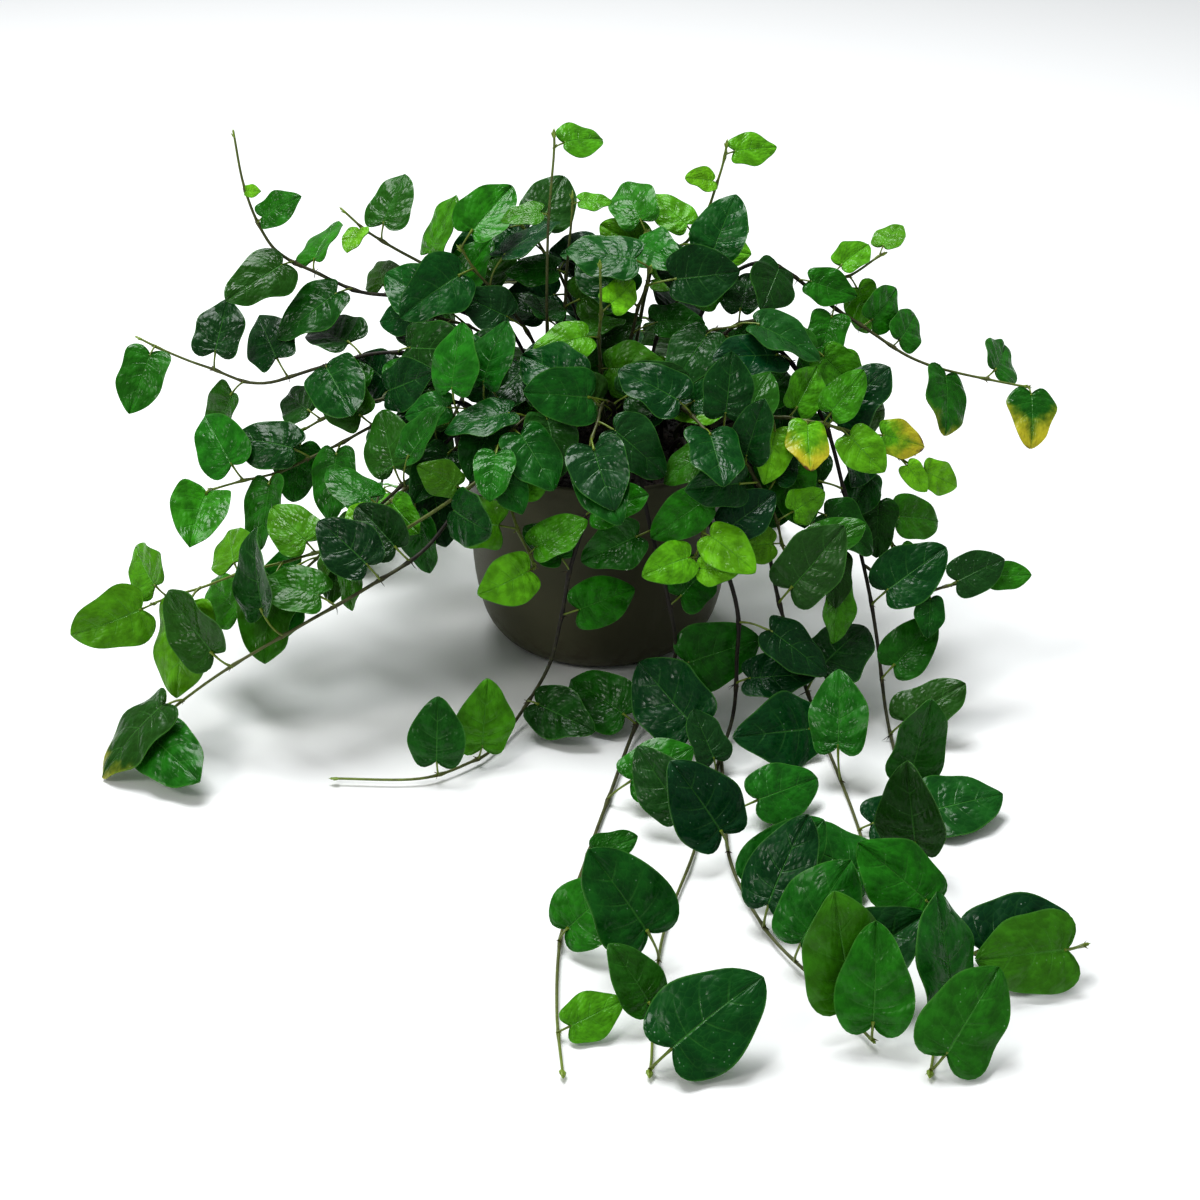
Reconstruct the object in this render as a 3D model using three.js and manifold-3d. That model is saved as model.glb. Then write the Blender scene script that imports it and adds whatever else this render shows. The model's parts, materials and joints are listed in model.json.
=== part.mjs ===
// A creeping fig in its pot: a smooth bowl-bottomed plastic pot, the peat in it, and the leafy stems that
// rise from the peat, arch over the rim and trail down to the surface that the pot stands on.
// Millimetres, +Z up, origin at the middle of the pot's flat underside, the photographed side towards -Y.

import * as THREE from "three";
import { mergeVertices } from "three/addons/utils/BufferGeometryUtils.js";
import Module from "manifold-3d";

const wasm = await Module();
wasm.setup();

// Pot
const rimRadius = 65;
const potHeight = 97;
const bodyRadius = 58;
const footRadius = 39;
const wall = 2.2;
const baseThickness = 2.5;
const potSides = 28;

// Peat
const fitGap = 0.3;
const soilEdgeHeight = 87;
const soilEdgeRadius = 57.5;
const soilMound = 5;
const soilLump = 1.2;
const holeSides = 5;
const holeRadius = 2.5;
const holeBottom = 64;

// Stems
const stemRadius = 1.3;
const shootRadius = 1;
const stemSides = 3;
const stemStep = 23;
const rootDepth = 68;
const soilTop = 96;

// Leaves
const bladeThickness = 0.7;
const stalkLength = 0.3;
const sinkDepth = 0.4;
const mergeTolerance = 0.05;
const bladeClearance = 1;
const stemClearance = 2.2;
const potClearance = 2.4;
const floorClearance = 1.4;
const rimClearance = 4;

const colours = {
  pot: 0x6f6a5f,
  soil: 0x1d1612,
  dark: 0x12461a,
  mid: 0x1f6424,
  young: 0x4f9a2a,
  olive: 0x54781c,
};

// The same run of numbers each time for one seed
function drawsFrom(seed) {
  let state = seed * 7919 + 17;
  return () => {
    state = (state * 48271) % 2147483647;
    return state / 2147483647;
  };
}

// count leaves from place first to place last along a route, on alternate sides, as [place, side, length]
function spaced(first, last, count, size, tipSize) {
  const leaves = [];
  for (let i = 0; i < count; i++) {
    const share = count > 1 ? i / (count - 1) : 0;
    const side = i % 2 ? -1 : 1;
    leaves.push([first + (last - first) * share, side, size + (tipSize - size) * share]);
  }
  return leaves;
}

// A root at (x, y): the stretch of stem that stands upright in its hole in the peat
function root(x, y) {
  return [
    [x, y, rootDepth],
    [x, y, soilTop - 8],
    [x, y, soilTop + 4],
  ];
}

// Where the leaves of a stem look, and how far their tips lean on along the stem, spread sideways and rise
const hanging = { face: [0, -0.8, 0.6], lean: -0.25, spread: 0.6, rise: 0.7 };
const onTop = { face: [0, -0.55, 0.85], lean: 0.5, spread: 0.8, rise: -0.25 };
const toLeft = { face: [-0.35, -0.65, 0.65], lean: 0.35, spread: 0.8, rise: -0.3 };
const toRight = { face: [0.3, -0.7, 0.65], lean: 0.35, spread: 0.8, rise: -0.25 };
const toBack = { face: [0, 0.45, 0.85], lean: 0.4, spread: 0.8, rise: -0.3 };

// Every leafy stem: its route, and its leaves as [place along the route's points, side, length of the blade]
const stems = [
  {
    name: "front_runner",
    tone: "mid",
    habit: hanging,
    route: [...root(-2, -32), [-2, -54, 111], [-3, -71, 100], [-11, -80, 72], [-17, -85, 46],
      [-22, -88, 26], [-33, -92, 7], [-44, -116, 3], [-53, -128, 3], [-73, -141, 3], [-109, -141, 3]],
    leaves: [[4.4, -1, 24], [5.2, 1, 22], [5.9, -1, 27], [7.8, -1, 30], [9.8, 1, 28], [10.7, 1, 26]],
  },
  {
    name: "middle_left",
    tone: "mid",
    habit: hanging,
    route: [...root(15, -34), [17, -55, 111], [18, -71, 100], [28, -84, 56], [31, -86, 27],
      [17, -98, 6], [4, -150, 2], [-6, -199, 2], [-14, -244, 2], [-15, -289, 2], [-12, -322, 2]],
    leaves: [[4.4, 1, 26], [5.1, -1, 26], [6.1, -1, 33], [7.1, 1, 31], [8.1, -1, 28], [8.9, -1, 17],
      [10.1, 1, 30], [11.3, -1, 20]],
  },
  {
    name: "middle_right",
    tone: "dark",
    habit: hanging,
    route: [...root(31, -28), [35, -48, 112], [39, -66, 101], [56, -85, 56], [57, -92, 30],
      [56, -100, 9], [50, -122, 2], [44, -150, 2], [36, -193, 2], [22, -250, 2], [16, -322, 2]],
    leaves: [[4.5, 1, 26], [5.3, -1, 30], [6.4, -1, 28], [7.9, 1, 37], [8.5, -1, 22], [9.7, 1, 30],
      [11.15, 1, 36], [11.6, 1, 24], [11.95, -1, 38]],
    shoots: [
      {
        route: [[50, -122, 2], [49, -198, 4], [59, -242, 3], [75, -274, 3], [91, -306, 3]],
        leaves: [[0.6, -1, 30], [0.95, -1, 34], [1.5, 1, 34], [2, -1, 35], [2.6, 1, 34], [3.1, -1, 36],
          [3.6, 1, 36], [3.95, -1, 34]],
      },
    ],
  },
  {
    name: "right_main",
    tone: "dark",
    habit: hanging,
    route: [...root(46, 2), [57, -2, 126], [77, -6, 138], [95, -26, 115], [105, -45, 88],
      [112, -64, 62], [117, -78, 36], [121, -92, 8], [122, -119, 2], [122, -160, 2], [122, -200, 2],
      [121, -258, 2], [107, -322, 2]],
    leaves: [[4.3, 1, 30], [5.2, -1, 30], [6, 1, 34], [7.6, 1, 33], [8.6, -1, 28], [9.6, 1, 30],
      [10.6, 1, 32], [11.3, -1, 32], [11.9, 1, 34], [12.6, -1, 33], [13.1, -1, 34], [13.6, 1, 36],
      [13.95, -1, 34]],
    shoots: [
      {
        route: [[112, -64, 62], [130, -70, 52], [149, -70, 55], [164, -65, 57]],
        leaves: [[1.5, 1, 17], [1.9, -1, 22], [2.9, 1, 17]],
      },
      {
        route: [[121, -250, 2], [136, -262, 5], [152, -266, 8], [170, -264, 12]],
        leaves: [[1.3, 1, 28], [2.9, 1, 33]],
      },
    ],
  },
  {
    name: "right_second",
    tone: "dark",
    habit: hanging,
    route: [...root(44, -18), [54, -37, 113], [64, -56, 100], [74, -80, 56], [84, -92, 25],
      [93, -111, 6], [99, -157, 2], [102, -206, 2], [104, -240, 2]],
    leaves: [[4.3, 1, 28], [5.1, -1, 34], [5.7, 1, 36], [6.3, -1, 34], [6.9, 1, 34], [7.7, 1, 32],
      [8.4, -1, 26], [9.2, 1, 34], [9.9, -1, 24]],
  },
  {
    name: "right_cluster",
    tone: "young",
    habit: toRight,
    route: [...root(35, -3), [52, -20, 117], [72, -32, 117], [92, -40, 117], [113, -42, 111],
      [136, -44, 97]],
    leaves: spaced(3.3, 6.95, 11, 26, 18),
  },
  {
    name: "right_low",
    tone: "mid",
    habit: toRight,
    route: [...root(50, -8), [62, -24, 112], [76, -38, 103], [88, -52, 84], [98, -66, 60],
      [104, -76, 40]],
    leaves: spaced(3.7, 6.95, 8, 28, 24),
  },
  {
    name: "right_rim",
    tone: "mid",
    habit: hanging,
    route: [...root(38, -24), [48, -42, 113], [61, -56, 105], [72, -66, 88], [80, -72, 64]],
    leaves: spaced(3.3, 5.95, 8, 26, 24),
  },
  {
    name: "right_fall",
    tone: "dark",
    habit: toRight,
    route: [...root(50, 12), [66, 14, 114], [88, 10, 112], [108, 0, 98], [122, -14, 76], [130, -26, 52]],
    leaves: spaced(3.5, 6.95, 9, 26, 24),
  },
  {
    name: "right_crown",
    tone: "mid",
    habit: toRight,
    route: [...root(37, 12), [48, 14, 130], [64, 14, 143], [82, 10, 142], [98, 4, 130]],
    leaves: spaced(2.6, 5.95, 9, 26, 22),
  },
  {
    name: "right_upper",
    tone: "mid",
    habit: { ...toRight, rise: -0.8 },
    route: [...root(30, 22), [40, 24, 130], [53, 27, 156], [74, 32, 165], [98, 30, 150], [121, 20, 136],
      [139, 12, 127], [165, 5, 121], [190, 0, 118]],
    leaves: [[4, -1, 25], [5.2, 1, 25], [5.6, -1, 22], [6.3, 1, 30], [6.8, -1, 24], [7.5, -1, 22],
      [8.4, 1, 30], [9.2, -1, 26], [9.95, 1, 26]],
    shoots: [
      {
        route: [[92, 31, 155], [102, 36, 157], [113, 40, 157], [130, 50, 164]],
        leaves: [[1.2, -1, 20], [1.9, 1, 22], [2.8, -1, 18]],
      },
    ],
  },
  {
    name: "upper_right",
    tone: "young",
    habit: toRight,
    route: [...root(14, 28), [17, 31, 134], [25, 42, 163], [41, 54, 169], [52, 60, 190], [57, 62, 212]],
    leaves: [[3.6, 1, 24], [4.1, -1, 24], [4.6, 1, 27], [5.1, -1, 24], [5.6, 1, 18], [6.1, -1, 15],
      [6.7, 1, 21]],
  },
  {
    name: "upright_tall",
    tone: "mid",
    habit: onTop,
    route: [...root(-22, -4), [-23, -3, 140], [-22, -2, 181], [-19, -5, 233]],
    leaves: [[2.3, 1, 27], [2.7, -1, 27], [3.0, 1, 24], [4.3, -1, 17], [4.85, 1, 20]],
  },
  {
    name: "upright_middle",
    tone: "mid",
    habit: onTop,
    route: [...root(-12, 20), [-16, 21, 138], [-14, 24, 168], [-12, 28, 198]],
    leaves: [[2.3, -1, 28], [2.6, 1, 28], [2.9, -1, 27], [3.3, 1, 26], [3.8, -1, 22], [4.8, 1, 14]],
  },
  {
    name: "upright_short",
    tone: "young",
    habit: onTop,
    route: [...root(2, -12), [0, -12, 134], [0, -15, 159], [0, -18, 181]],
    leaves: [[2.2, 1, 28], [2.5, -1, 27], [2.9, 1, 26], [3.4, -1, 24], [3.9, 1, 20]],
  },
  {
    name: "left_olive",
    tone: "olive",
    habit: toLeft,
    route: [...root(-20, -34), [-28, -53, 116], [-40, -67, 110], [-66, -80, 95], [-89, -85, 83],
      [-111, -86, 79], [-145, -87, 70], [-187, -90, 56]],
    leaves: [[4.6, 1, 18], [6, 1, 17], [6.5, -1, 22], [7.2, 1, 24], [7.6, -1, 34], [8.1, 1, 24],
      [8.5, -1, 38], [8.8, 1, 26], [8.95, -1, 30]],
  },
  {
    name: "left_dark",
    tone: "dark",
    habit: { ...toLeft, lean: 0.2, rise: 0.4 },
    route: [...root(-34, -22), [-46, -44, 112], [-54, -61, 98], [-71, -88, 81], [-94, -105, 71],
      [-121, -114, 58], [-156, -120, 38], [-190, -122, 12]],
    leaves: [[4.3, -1, 28], [5.3, 1, 26], [5.8, 1, 28], [6.5, 1, 28], [7.2, 1, 34], [7.8, 1, 34],
      [8.4, 1, 38], [8.95, -1, 34]],
  },
  {
    name: "left_mid",
    tone: "dark",
    habit: toLeft,
    route: [...root(-44, -10), [-55, -16, 114], [-70, -21, 119], [-100, -24, 108], [-135, -30, 92],
      [-170, -36, 84]],
    leaves: spaced(3.3, 6.95, 10, 30, 30),
  },
  {
    name: "left_low",
    tone: "dark",
    habit: toLeft,
    route: [...root(-46, -18), [-60, -32, 109], [-74, -46, 100], [-98, -58, 82], [-128, -66, 58],
      [-150, -70, 36]],
    leaves: spaced(3.6, 6.95, 9, 29, 29),
  },
  {
    name: "left_inner",
    tone: "dark",
    habit: toLeft,
    route: [...root(-51, -2), [-63, -4, 112], [-84, -8, 117], [-108, -12, 113], [-132, -14, 103]],
    leaves: spaced(3.3, 5.95, 8, 27, 26),
  },
  {
    name: "left_hang",
    tone: "mid",
    habit: { ...toLeft, rise: 0.3 },
    route: [...root(-43, -27), [-56, -42, 110], [-69, -54, 101], [-84, -62, 94], [-98, -71, 84]],
    leaves: spaced(3.3, 5.95, 8, 27, 25),
  },
  {
    name: "left_far",
    tone: "dark",
    habit: { ...toLeft, rise: -0.7 },
    route: [...root(-42, 6), [-57, 4, 122], [-88, 0, 134], [-120, 0, 128], [-148, 0, 120],
      [-176, 5, 126], [-205, 10, 138]],
    leaves: [[3.5, 1, 30], [4, -1, 31], [4.5, 1, 30], [5, -1, 32], [5.6, 1, 31], [6.3, -1, 28],
      [6.8, 1, 26], [7.7, -1, 28]],
  },
  {
    name: "left_upright",
    tone: "mid",
    habit: toLeft,
    route: [...root(-33, 18), [-48, 20, 136], [-76, 23, 150], [-106, 24, 154], [-138, 30, 167],
      [-150, 35, 178], [-157, 38, 198], [-160, 40, 222]],
    leaves: [[3.6, 1, 28], [4.1, -1, 34], [4.6, 1, 24], [5.1, -1, 33], [5.6, 1, 26], [5.9, -1, 30],
      [7.2, 1, 20], [7.9, 1, 8]],
  },
  {
    name: "left_upper",
    tone: "mid",
    habit: { ...toLeft, rise: 0.4 },
    route: [...root(-26, 30), [-42, 30, 136], [-66, 32, 156], [-97, 36, 173], [-115, 38, 188]],
    leaves: [[3.4, 1, 28], [3.9, -1, 30], [4.3, 1, 28], [5, 1, 27], [5.4, -1, 14]],
  },
  {
    name: "crown_left",
    tone: "dark",
    habit: { ...onTop, face: [-0.3, -0.6, 0.75] },
    route: [...root(-17, 8), [-30, 8, 138], [-48, 10, 160], [-62, 14, 178]],
    leaves: spaced(2.2, 4.9, 7, 30, 32),
  },
  {
    name: "crown_front_left",
    tone: "dark",
    habit: { ...onTop, face: [-0.15, -0.7, 0.7] },
    route: [...root(-12, -20), [-17, -35, 117], [-27, -48, 124], [-38, -61, 121], [-47, -72, 111]],
    leaves: spaced(2.2, 5.9, 8, 28, 28),
  },
  {
    name: "crown_front",
    tone: "dark",
    habit: { ...onTop, face: [0, -0.75, 0.66] },
    route: [...root(8, -18), [6, -33, 120], [2, -46, 128], [-2, -61, 124], [-6, -73, 113]],
    leaves: spaced(2.2, 5.9, 8, 28, 29),
  },
  {
    name: "crown_front_right",
    tone: "dark",
    habit: { ...onTop, face: [0.15, -0.7, 0.7] },
    route: [...root(24, -14), [29, -29, 118], [36, -44, 124], [45, -58, 119], [55, -68, 107]],
    leaves: spaced(2.2, 5.9, 8, 28, 29),
  },
  {
    name: "crown_right",
    tone: "dark",
    habit: { ...onTop, face: [0.25, -0.6, 0.75] },
    route: [...root(28, 6), [34, 4, 130], [45, 0, 143], [60, -4, 148]],
    leaves: spaced(2.2, 4.9, 6, 29, 31),
  },
  {
    name: "crown_middle",
    tone: "dark",
    habit: onTop,
    route: [...root(8, 8), [12, 8, 132], [18, 6, 156], [22, 4, 172]],
    leaves: spaced(2.2, 4.9, 6, 29, 30),
  },
  {
    name: "crown_back",
    tone: "dark",
    habit: onTop,
    route: [...root(1, 22), [4, 26, 138], [10, 33, 162], [22, 38, 178]],
    leaves: spaced(2.2, 4.9, 8, 29, 28),
  },
  {
    name: "crown_back_left",
    tone: "dark",
    habit: { ...onTop, face: [-0.2, -0.6, 0.8] },
    route: [...root(-4, 34), [-10, 36, 138], [-22, 40, 163], [-36, 44, 180]],
    leaves: spaced(2.2, 4.9, 8, 29, 29),
  },
  {
    name: "crown_back_right",
    tone: "dark",
    habit: { ...onTop, face: [0.2, -0.6, 0.8] },
    route: [...root(20, 16), [25, 18, 134], [36, 22, 152], [50, 24, 166]],
    leaves: spaced(2.2, 4.9, 8, 29, 28),
  },
  {
    name: "crown_far_left",
    tone: "dark",
    habit: { ...onTop, face: [-0.3, -0.65, 0.7] },
    route: [...root(-30, 8), [-44, 6, 134], [-62, 5, 146], [-80, 4, 150]],
    leaves: spaced(2.3, 4.9, 8, 29, 29),
  },
  {
    name: "crown_low_left",
    tone: "dark",
    habit: { ...onTop, face: [-0.2, -0.75, 0.65] },
    route: [...root(-24, -24), [-36, -34, 118], [-50, -42, 124], [-66, -46, 119]],
    leaves: spaced(2.4, 4.9, 8, 27, 28),
  },
  {
    name: "front_short_left",
    tone: "young",
    habit: hanging,
    route: [...root(-30, -34), [-36, -52, 108], [-39, -68, 99], [-33, -80, 84], [-27, -84, 70]],
    leaves: [[4.2, -1, 22], [4.9, 1, 26], [5.6, -1, 24], [5.95, 1, 24]],
  },
  {
    name: "front_short_right",
    tone: "young",
    habit: hanging,
    route: [...root(40, -34), [46, -52, 108], [48, -69, 100], [42, -80, 82], [38, -86, 68]],
    leaves: [[4.1, 1, 26], [4.9, -1, 24], [5.5, 1, 22], [5.9, -1, 17]],
  },
  {
    name: "back_left",
    tone: "mid",
    habit: { ...toBack, face: [-0.3, 0.45, 0.8] },
    route: [...root(-30, 42), [-44, 58, 112], [-58, 76, 100], [-74, 96, 62], [-86, 112, 24],
      [-98, 128, 6], [-118, 152, 3]],
    leaves: spaced(3.4, 7.9, 9, 30, 20),
  },
  {
    name: "back_middle",
    tone: "dark",
    habit: toBack,
    route: [...root(-6, 44), [-9, 62, 113], [-11, 80, 101], [-16, 96, 60], [-20, 108, 22],
      [-24, 124, 6], [-22, 160, 3]],
    leaves: spaced(3.4, 7.9, 9, 31, 20),
  },
  {
    name: "back_right",
    tone: "mid",
    habit: { ...toBack, face: [0.3, 0.45, 0.8] },
    route: [...root(26, 42), [38, 60, 112], [46, 76, 100], [56, 96, 60], [64, 110, 22], [72, 128, 6],
      [88, 154, 3]],
    leaves: spaced(3.4, 7.9, 9, 30, 20),
  },
  {
    name: "back_short",
    tone: "mid",
    habit: toBack,
    route: [...root(10, 38), [13, 56, 120], [16, 76, 122], [18, 98, 112], [20, 114, 92]],
    leaves: spaced(3.0, 5.9, 6, 30, 20),
  },
  {
    name: "back_upper",
    tone: "dark",
    habit: toBack,
    route: [...root(-14, 36), [-20, 46, 132], [-30, 62, 142], [-44, 80, 140], [-58, 94, 128]],
    leaves: spaced(2.6, 5.9, 7, 31, 22),
  },
  {
    name: "side_right",
    tone: "mid",
    habit: { ...toRight, face: [0.6, 0.1, 0.75] },
    route: [...root(46, 28), [62, 40, 112], [78, 50, 103], [92, 60, 70], [100, 66, 34], [108, 70, 8]],
    leaves: spaced(3.4, 6.9, 8, 29, 20),
  },
  {
    name: "side_left",
    tone: "mid",
    habit: { ...toLeft, face: [-0.6, 0.15, 0.75] },
    route: [...root(-46, 30), [-62, 42, 112], [-80, 52, 104], [-98, 62, 72], [-108, 70, 36],
      [-116, 74, 10]],
    leaves: spaced(3.4, 6.9, 8, 29, 20),
  },
];

// Pot: outer and inner half profiles, from the axis of the base up to the lip

const outerProfile = [
  [0, 0],
  [footRadius, 0],
  [footRadius + 4.5, 1.4],
  [footRadius + 10, 6],
  [bodyRadius - 3.6, 16.5],
  [bodyRadius, 38],
  [bodyRadius + 1, 74],
  [rimRadius - 2.2, 90],
  [rimRadius, potHeight - 1],
  [rimRadius - 0.4, potHeight],
];

// The pot's outer radius at a height
function potRadius(z) {
  for (let i = 2; i < outerProfile.length; i++) {
    const [r0, z0] = outerProfile[i - 1];
    const [r1, z1] = outerProfile[i];
    if (z <= z1) return r0 + ((r1 - r0) * (z - z0)) / (z1 - z0);
  }
  return rimRadius;
}

function halfProfile(points) {
  return points.map(([r, z]) => new THREE.Vector2(r, z));
}

// A lathe turned upright, from its own +Y to +Z
function turned(points, sides) {
  return new THREE.LatheGeometry(halfProfile(points), sides).rotateX(Math.PI / 2);
}

function solidOf(geometry) {
  const bare = geometry.clone();
  bare.deleteAttribute("normal");
  bare.deleteAttribute("uv");
  const merged = mergeVertices(bare, 1e-4);
  const mesh = new wasm.Mesh({
    numProp: 3,
    vertProperties: new Float32Array(merged.attributes.position.array),
    triVerts: new Uint32Array(merged.index.array),
  });
  return new wasm.Manifold(mesh);
}

function geometryOf(solid) {
  const mesh = solid.getMesh();
  const geometry = new THREE.BufferGeometry();
  geometry.setAttribute("position", new THREE.BufferAttribute(new Float32Array(mesh.vertProperties), 3));
  geometry.setIndex(new THREE.BufferAttribute(new Uint32Array(mesh.triVerts), 1));
  return geometry;
}

// The inside of the pot from the lip down to the edge of its floor
function innerWall() {
  return outerProfile
    .slice(2, -1)
    .map(([r, z]) => [r - wall, Math.max(z, baseThickness + 0.5)])
    .reverse();
}

function potGeometry() {
  const lip = [rimRadius - wall + 0.5, potHeight];
  const floor = [[footRadius - 2, baseThickness], [0, baseThickness]];
  return turned([...outerProfile, lip, ...innerWall(), ...floor], potSides);
}

// Peat: its underside follows the pot's inner wall, its top is mounded and lumpy

function soilHeight(x, y) {
  const reach = Math.max(0, 1 - (x * x + y * y) / soilEdgeRadius ** 2);
  const lumps = Math.sin(x * 0.31 + 1) * Math.cos(y * 0.27) + 0.6 * Math.sin(x * 0.13 - y * 0.41);
  return soilEdgeHeight + soilMound * reach + soilLump * lumps * Math.min(1, 4 * reach);
}

function soilSolid() {
  const below = innerWall().filter(([, z]) => z < soilEdgeHeight - 4);
  const side = below.map(([r, z]) => [r - 1.5 * fitGap, z + fitGap]).reverse();
  const top = [1, 0.82, 0.6, 0.34, 0].map((share) => [share * soilEdgeRadius, soilEdgeHeight]);
  const profile = [[0, baseThickness + fitGap],
      [footRadius - 3, baseThickness + fitGap], ...side, ...top];
  const geometry = turned(profile, potSides);
  const place = geometry.attributes.position;
  for (let i = 0; i < place.count; i++) {
    if (place.getZ(i) > soilEdgeHeight - 0.01) {
      place.setZ(i, soilHeight(place.getX(i), place.getY(i)));
    }
  }
  let soil = solidOf(geometry);
  for (const stem of stems) {
    const [x, y] = stem.route[0];
    const hole = new THREE.CylinderGeometry(holeRadius, holeRadius, 60, holeSides).rotateX(Math.PI / 2);
    soil = soil.subtract(solidOf(hole.translate(x, y, holeBottom + 30)));
  }
  return soil;
}

// Stems

function curveOf(route) {
  return new THREE.CatmullRomCurve3(
    route.map((p) => new THREE.Vector3(...p)),
    false,
    "catmullrom",
    0.5,
  );
}

function stepsOf(curve) {
  return Math.max(3, Math.round(curve.getLength() / stemStep));
}

function tube(curve, radius) {
  const section = new THREE.Shape();
  for (let i = 0; i < stemSides; i++) {
    const turn = (2 * Math.PI * i) / stemSides;
    const point = [radius * Math.cos(turn), radius * Math.sin(turn)];
    if (i === 0) section.moveTo(...point);
    else section.lineTo(...point);
  }
  const settings = { steps: stepsOf(curve), bevelEnabled: false, extrudePath: curve };
  return new THREE.ExtrudeGeometry(section, settings);
}

// Points every few millimetres along a route, for keeping leaves clear of stems
function beads(route) {
  const curve = curveOf(route);
  const count = (route.length - 1) * 6;
  const points = [];
  for (let i = 0; i <= count; i++) points.push(curve.getPoint(i / count));
  return points;
}

// Leaves: half outline of the blade as shares of its length, from the notch round the lobe to the tip

const halfOutline = [
  [0.03, 0.02],
  [0.29, -0.1],
  [0.44, 0.47],
];
const widest = 0.43;

// Half the blade's width at a share of its length, before the leaf's own breadth
function halfWidth(share) {
  if (share < -0.13 || share > 1) return -1;
  if (share < 0.3) return widest * Math.sqrt(1 - ((0.3 - share) / 0.44) ** 2);
  return widest * (1 - ((share - 0.3) / 0.7) ** 1.9) ** 0.85;
}

// How far the blade's surface stands off its flat plane, in shares of its length
function swell(leaf, across, along) {
  const waved = 0.05 * Math.sin(6 * along + leaf.wave) * Math.abs(across);
  return leaf.cup * across * across - leaf.droop * along * along + waved;
}

function toLeaf(leaf, point) {
  const d = point.clone().sub(leaf.base);
  return [d.dot(leaf.side) / leaf.size, d.dot(leaf.tip) / leaf.size, d.dot(leaf.face) / leaf.size];
}

function fromLeaf(leaf, across, along, off) {
  return leaf.base
    .clone()
    .addScaledVector(leaf.side, across * leaf.size)
    .addScaledVector(leaf.tip, along * leaf.size)
    .addScaledVector(leaf.face, off * leaf.size);
}

// A point on the middle sheet of a blade, from its place in the common outline
function bladePoint(leaf, u, v) {
  const across = u * leaf.breadth;
  return fromLeaf(leaf, across, v, swell(leaf, across, v));
}

// The ribs along which a blade is tested: its rim, its midrib and two cross veins
const rim = [...halfOutline, [0, 1], ...halfOutline.map(([u, v]) => [-u, v]).reverse()];
const ribs = [
  rim,
  [[0, 0], [0, 0.35], [0, 0.7], [0, 1]],
  [[-0.4, 0.2], [-0.2, 0.2], [0, 0.2], [0.2, 0.2], [0.4, 0.2]],
  [[-0.36, 0.55], [-0.18, 0.55], [0, 0.55], [0.18, 0.55], [0.36, 0.55]],
];

function ribPoints(leaf) {
  return ribs.map((rib) => rib.map(([u, v]) => bladePoint(leaf, u, v)));
}

// Whether a chain of points passes through or close to a blade
function pierces(leaf, chain, gap) {
  const margin = gap / leaf.size;
  let before = null;
  for (const point of chain) {
    const [across, along, off] = toLeaf(leaf, point);
    const half = leaf.breadth * halfWidth(Math.min(Math.max(along, -0.1), 0.97));
    const inside = Math.abs(across) < half + margin;
    const within = inside && along > -0.13 - margin && along < 1 + margin;
    const above = off - swell(leaf, across, along);
    if (within && Math.abs(above) < margin) return true;
    if (before && (within || before.within) && above * before.above < 0) return true;
    before = { within, above };
  }
  return false;
}

function clearOfPot(point) {
  if (point.z < floorClearance) return false;
  const radius = Math.hypot(point.x, point.y);
  if (point.z > potHeight + rimClearance) return true;
  return radius > potRadius(Math.min(point.z, potHeight)) + potClearance;
}

// A leaf on a stem: its stalk's root, its blade's base and its three directions
function leafOn(stem, curve, place, side, size, draws, turn, lift, reach) {
  const share = place / (curve.points.length - 1);
  const root = curve.getPoint(share);
  const ahead = curve.getPoint(Math.min(share + 0.002, 1));
  const behind = curve.getPoint(Math.max(share - 0.002, 0));
  const along = ahead.sub(behind).normalize();
  const habit = stem.habit;
  const face = new THREE.Vector3(
    habit.face[0] + 1.1 * (draws[0] - 0.5),
    habit.face[1] + 0.8 * (draws[1] - 0.5),
    habit.face[2] + 0.8 * (draws[2] - 0.5) + lift,
  ).normalize();
  const across = along.clone().cross(face).normalize();
  const tip = across
    .multiplyScalar(side * habit.spread)
    .addScaledVector(along, habit.lean + 0.5 * (draws[3] - 0.5));
  tip.z += habit.rise;
  tip.addScaledVector(face, -tip.dot(face)).normalize();
  tip.applyAxisAngle(face, turn + 0.5 * (draws[4] - 0.5));
  const stalk = size * stalkLength * reach * (0.8 + 0.4 * draws[5]);
  const base = root.clone().addScaledVector(tip, 0.8 * stalk).addScaledVector(face, 0.55 * stalk);
  return {
    stem: stem.name,
    root,
    base,
    tip,
    face,
    side: tip.clone().cross(face),
    size,
    cup: 0.5 * (draws[6] - 0.65),
    droop: 0.04 + 0.14 * draws[7],
    wave: 6.28 * draws[8],
    breadth: 0.84 + 0.2 * draws[9],
  };
}

const turns = [0, 0.35, -0.35, 0.7, -0.7, 1.1, -1.1, 1.6, -1.6];
const lifts = [0, 0.5, -0.35];
const reaches = [1, 1.8];
const shrinks = [1, 0.76];

// Leaves of every stem: each takes the first turn that keeps it clear of pot, stems and other leaves
function growLeaves() {
  const grown = [];
  const chains = [];
  for (const stem of stems) {
    for (const part of [stem, ...(stem.shoots ?? [])]) chains.push({ stem, points: beads(part.route) });
  }
  stems.forEach((stem, number) => {
    const draw = drawsFrom(number + 1);
    [stem, ...(stem.shoots ?? [])].forEach((part, partNumber) => {
      const curve = curveOf(part.route);
      for (const [place, side, size] of part.leaves) {
        const draws = Array.from({ length: 10 }, draw);
        const leaf = firstClear(stem, curve, place, side, size, draws, grown, chains);
        if (leaf) grown.push({ ...leaf, part: partNumber });
      }
    });
  });
  return grown;
}

function firstClear(stem, curve, place, side, size, draws, grown, chains) {
  for (const shrink of shrinks) {
    for (const reach of reaches) {
      for (const lift of lifts) {
        for (const turn of turns) {
          const leaf = leafOn(stem, curve, place, side, size * shrink, draws, turn, lift, reach);
          leaf.lines = ribPoints(leaf);
          if (isClear(leaf, grown, chains)) return leaf;
        }
      }
    }
  }
  return null;
}

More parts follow.
